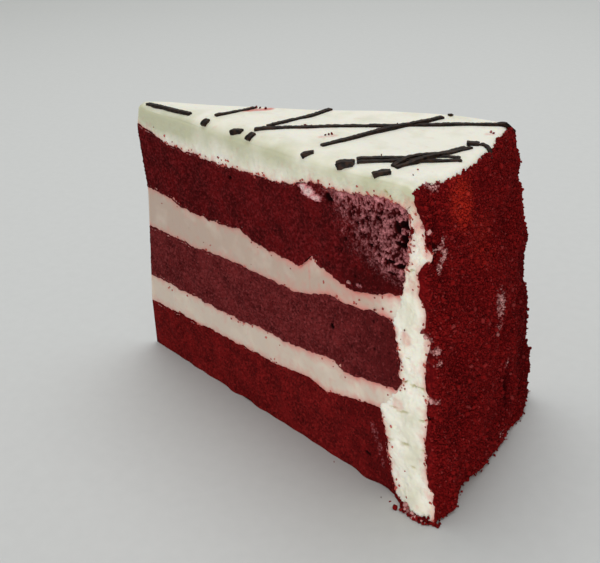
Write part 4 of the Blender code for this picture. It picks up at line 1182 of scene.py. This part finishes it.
def makeLooseCrumbs():
    shape = looseShape
    places, sizes, creamy = [], [], []

    def put(x, y, z, size, cream=0.0):
        places.append((centreX + x, y, z))
        sizes.append(size)
        creamy.append(shape["creamGain"] * cream)

    for x, y, size in shape["onTop"]:
        x, y = x / 1000, y / 1000
        radius, sideways = np.array(math.hypot(x, y)), np.array(math.atan2(y, x) / halfAngle)
        put(x, y, float(topSurface(radius, sideways)) + shape["topLift"] * size, size, shape["topCream"])
    cutAlong = np.array([math.cos(halfAngle), -math.sin(halfAngle)])
    cutOut = np.array([-math.sin(halfAngle), -math.cos(halfAngle)])
    for along, out, z, size, cream in shape["byCut"]:
        put(*(cutAlong * along + cutOut * out) / 1000, z / 1000, size, cream)
    foot = shape["atFoot"]
    chance = np.random.default_rng(foot["seed"])
    for sideways in chance.uniform(-1.0, 1.0, foot["crumbs"]):
        thickness = coatThickness(cake["icingEdge"][0][1], sideways, foot["sideAt"])
        radius = float(icingRadius(icingFoot, sideways) + thickness)
        radius += foot["reach"] * chance.uniform(-1.0, 1.0)
        size, angle = chance.uniform(*foot["sizes"]), sideways * halfAngle
        put(radius * math.cos(angle), radius * math.sin(angle), foot["lift"] * size, size)
    heap = shape["atSlump"]
    chance = np.random.default_rng(heap["seed"])
    for n in range(heap["crumbs"]):
        along, size = chance.uniform(*heap["along"]), chance.uniform(*heap["sizes"])
        out = float(read(cake["footSlump"], along, blur=0.0015))
        out += heap["reach"] * chance.uniform(heap["inwards"], 1.0)
        x, y = cutAlong * along + cutOut * out
        y, z = y * chance.choice(heap["cuts"]), chance.uniform(*heap["heights"])
        put(x, y, z, size, chance.choice(heap["creams"]))
    corners = addMesh("looseCrumbs", places, [], size=np.array(sizes), smear=np.array(creamy))
    piece = runTree(corners, placedTree, Size=0.001, Detail=2, Seed=31, Material=materials["crumb"])
    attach(piece, "root")


makeLooseCrumbs()
print("crumbs scattered")

# Chocolate strands
strandShape = {
    "step": 0.0005, "flatness": 0.72, "squareness": 1.6, "roughness": 0.00013, "roughSize": 0.0009,
    "sway": 0.00016, "swaySize": 0.006, "uneven": 0.14, "unevenSize": 0.004, "endShare": 0.88,
    "endReach": 0.0006, "cornerRound": 0.0012,
}
# From above, in mm from the cake's centre: width, then the path's points with their lift over the icing.
# Where two lines of the bag's nozzle lie side by side, each is a strand of its own.
strands = [
    (1.5, [(56.8, -10, 0), (74.7, 1.6, 0), (96.5, 13.4, 0), (111, 21.5, 0), (115, 24.4, 0.2),
           (116.2, 26, 0.6), (117, 26.7, 1), (117.6, 27, 1), (118.1, 27.3, 0.1), (118.4, 27.7, -1.3)]),
    (1.9, [(50, -11.5, 0), (54, -11.2, 0)]),
    (1.5, [(81.1, -13.9, 0), (84.5, -6.9, 0), (88.4, 2, 0.3), (91.1, 7.6, 0.5), (94.1, 12.6, 0.3),
           (99.8, 21.8, 0)]),
    (1.3, [(100.4, 23.6, 0), (100.9, 24.8, 0)]),
    (1.7, [(78.5, -19.3, 0), (81.5, -17.5, 0)]),
    (1.4, [(94.2, -18.6, 0), (97.3, -16.6, 0), (100.6, -15, 0), (103.9, -13.3, 0), (106.6, -12, 0),
           (109.3, -10, 0), (112.1, -7.8, 0), (114.8, -6.7, 0), (117.2, -6.6, 0)]),
    (1.4, [(95.2, -20.1, 0), (98.9, -18.4, 0), (102.4, -16.7, 0), (104.9, -15.3, 0.3), (109.3, -13.1, 0.3),
           (113.6, -10.9, 0), (116.7, -9, 0), (118.1, -7.6, 0)]),
    (2.5, [(91, -22.6, 0.3), (95.4, -21.1, 0.2)]),
    (1.3, [(105, -19.6, 0.1), (105.4, -16.5, 0.3), (106.4, -13.2, 0.7), (108.2, -10.8, 0.7),
           (109.9, -8.7, 0.6), (111.4, -6.2, 0.2), (112.4, -3, 0), (113.9, 0.4, 0), (115, 2.4, 0)]),
    (1.3, [(105.9, -20.1, 0.1), (107.1, -17.4, 0.1), (108.6, -15, 0.5), (110, -12, 0.8), (111.2, -9, 0.7),
           (112.2, -6.2, 0.3), (113.6, -3, 0), (114.9, 0, 0), (116.2, 3, 0)]),
    (2.0, [(102.9, -25.7, 0.2), (106.5, -22.8, 0.1)]),
    (1.9, [(113.7, 4.6, 0.2), (117, 5.8, 0)]),
    (1.1, [(116.8, 5.8, 0), (118.4, 6, 0.2), (120, 5, 0.3), (121.2, 3, 0.4)]),
    (1.5, [(59, -6.5, 0), (63.4, 6, 0), (66.4, 16.4, 0)]),
    (1.9, [(57.8, -14.3, 0), (58.4, -11.6, 0)]),
    (1.5, [(39.2, -4.8, 0), (44, 9.4, -0.2)]),
    (2.0, [(38.3, -9.3, 0), (38.7, -7.1, 0)]),
    (1.5, [(8.6, -0.2, 0), (18, -2.2, 0), (30.5, -5, 0)]),
]


def makeStrandTree():
    # a flat-bottomed strip along each curve, as wide as the curve's own radius, roughened all over
    tree, add, given = newTree("chocolateStrip", "Flatness", "Squareness", "Roughness", "RoughSize")
    ring = add("CurvePrimitiveCircle", {"Resolution": 16, "Radius": 0.5})
    place = add("InputPosition")
    parts = add("SeparateXYZ", {0: place}).outputs
    swelled = [add("Math", {0: parts[axis], 1: given["Squareness"]}, operation="MULTIPLY") for axis in (0, 1)]
    across, up = (add("Clamp", {0: value, (1, 2): (-0.5, 0.5)}) for value in swelled)
    flat = add("Math", {0: up, 1: given["Flatness"]}, operation="MULTIPLY")
    section = add("SetPosition", {0: ring, "Position": add("CombineXYZ", {0: across, 1: flat})})
    upright = add("SetCurveNormal", {0: given["Geometry"]}, mode="Z_UP")
    width = add("InputNamedAttribute", {"Name": "radius"}, data_type="FLOAT")
    strip = add("CurveToMesh", {0: upright, 1: section, "Scale": width, "Fill Caps": True})
    fineness = add("Math", {0: 1.0, 1: given["RoughSize"]}, operation="DIVIDE")
    knobs = add("TexNoise", {"Scale": fineness, "Detail": 2.0, "Vector": place})
    centred = add("VectorMath", {0: knobs.outputs["Color"], 1: (0.5, 0.5, 0.5)}, operation="SUBTRACT")
    depth = add("Math", {0: given["Roughness"], 1: 4.0}, operation="MULTIPLY")
    shift = add("VectorMath", {0: centred, "Scale": depth}, operation="SCALE")
    endTree(add, add("SetPosition", {0: strip, "Offset": shift}), given["Material"])
    return tree


def makeStrands():
    shape = strandShape
    curve = bpy.data.curves.new("strands", "CURVE")
    curve.dimensions = "3D"
    for n, (width, path) in enumerate(strands):
        path = metres(*path)
        stops = np.concatenate([[0], np.cumsum(np.hypot(*np.diff(path[:, :2], axis=0).T))])
        count = max(5, round(stops[-1] / shape["step"]))
        run = np.linspace(0, stops[-1], count + 1)
        blur = min(shape["cornerRound"], stops[-1] / 8)
        x, y, lift = (read(list(zip(stops, path[:, axis])), run, blur) for axis in range(3))
        y = y + shape["sway"] * waves(shape["swaySize"], 50 + n, run)
        sideways = np.clip(np.arctan2(y, x) / halfAngle, -1, 1)
        z = topSurface(np.hypot(x, y), sideways) + lift
        wide = width / 1000 * (1 + shape["uneven"] * waves(shape["unevenSize"], 70 + n, run))
        wide *= mix(shape["endShare"], 1.0, ease(0.0, shape["endReach"], np.minimum(run, stops[-1] - run)))
        spline = curve.splines.new("POLY")
        spline.points.add(count)
        for point, *place in zip(spline.points, x + centreX, y, z, wide):
            point.co, point.radius = (*place[:3], 1), place[3]
    piece = runTree(addObject("strands", curve), makeStrandTree(), Flatness=shape["flatness"],
                    Squareness=shape["squareness"], Roughness=shape["roughness"],
                    RoughSize=shape["roughSize"], Material=materials["chocolate"])
    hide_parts("frosting")
    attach(piece, "root")


makeStrands()
print("strands made")

# Matt card under the cake: pale grey, with faint fibres
floorLook = {"roughness": 0.7, "specular": 0.3, "reach": 4.0, "fibreSize": 0.004, "dark": "#D4D5D6",
             "light": "#DADBDC"}


def makeFloor():
    material, shader, add, fibres = newMaterial("mattCard", floorLook, fibre=4.0)
    base = add("Mix", {0: fibres, "A": floorLook["dark"], "B": floorLook["light"]}, data_type="RGBA")
    plug(shader, {"Base Color": base})
    mesh = bpy.data.meshes.new("floor")
    reach = floorLook["reach"]
    mesh.from_pydata([(-reach, -reach, 0), (reach, -reach, 0), (reach, reach, 0), (-reach, reach, 0)], [],
                     [(0, 1, 2, 3)])
    mesh.materials.append(material)
    floor = addObject("floor", mesh)
    return floor


# Light and camera: a wide soft lamp above and behind, a small low one in front of the near cut, and a pale
# room all round
lamps = {
    "overhead": {"place": (-0.10, 0.25, 1.10), "target": (0, 0, 0.05), "size": 0.9, "watts": 6.0,
                 "colour": (0.99, 0.99, 1.0)},
    "nearSide": {"place": (0.15, -0.32, 0.05), "target": (0.06, -0.03, 0.01), "size": 0.22, "watts": 0.60,
                 "colour": (1.0, 0.98, 0.94)},
}
room = {"Color": (0.98, 1.0, 0.94, 1.0), "Strength": 0.47}
view = {
    "lens": 53.52, "shift": -0.1358, "sensor": 36,
    "place": (centreX + 0.1985, -0.1996, 0.1656),
    "turns": ((33.83, "Z"), (67.6, "X"), (-2.464, "Z")),    # degrees, one after the other
}


def addLight(name, place, target, size, watts, colour):
    lamp = bpy.data.lights.new(name, "AREA")
    lamp.shape, lamp.size, lamp.energy, lamp.color = "DISK", size, watts, colour
    light = addObject(name, lamp)
    light.location = place
    light.rotation_euler = (Vector(target) - Vector(place)).to_track_quat("-Z", "Y").to_euler()
    return light


floorPiece = makeFloor()
lights = {name: addLight(name, **lamp) for name, lamp in lamps.items()}
# the low lamp lights the cake alone, or the floor under it would glare
unlit = bpy.data.collections.new("unlitByNearSide")
unlit.objects.link(floorPiece)
unlit.collection_objects[0].light_linking.link_state = "EXCLUDE"
lights["nearSide"].light_linking.receiver_collection = unlit
world = bpy.data.worlds.new("paleRoom")
world.use_nodes = True
plug(world.node_tree.nodes["Background"], room)
bpy.context.scene.world = world
bpy.context.scene.view_settings.view_transform = "Standard"

cameraData = bpy.data.cameras.new("camera")
cameraData.sensor_width, cameraData.lens, cameraData.shift_y = view["sensor"], view["lens"], view["shift"]
camera = addObject("camera", cameraData)
camera.matrix_world = Matrix.Translation(view["place"])
for angle, axis in view["turns"]:
    camera.matrix_world = camera.matrix_world @ Matrix.Rotation(math.radians(angle), 4, axis)
bpy.context.scene.camera = camera
print("stage set")
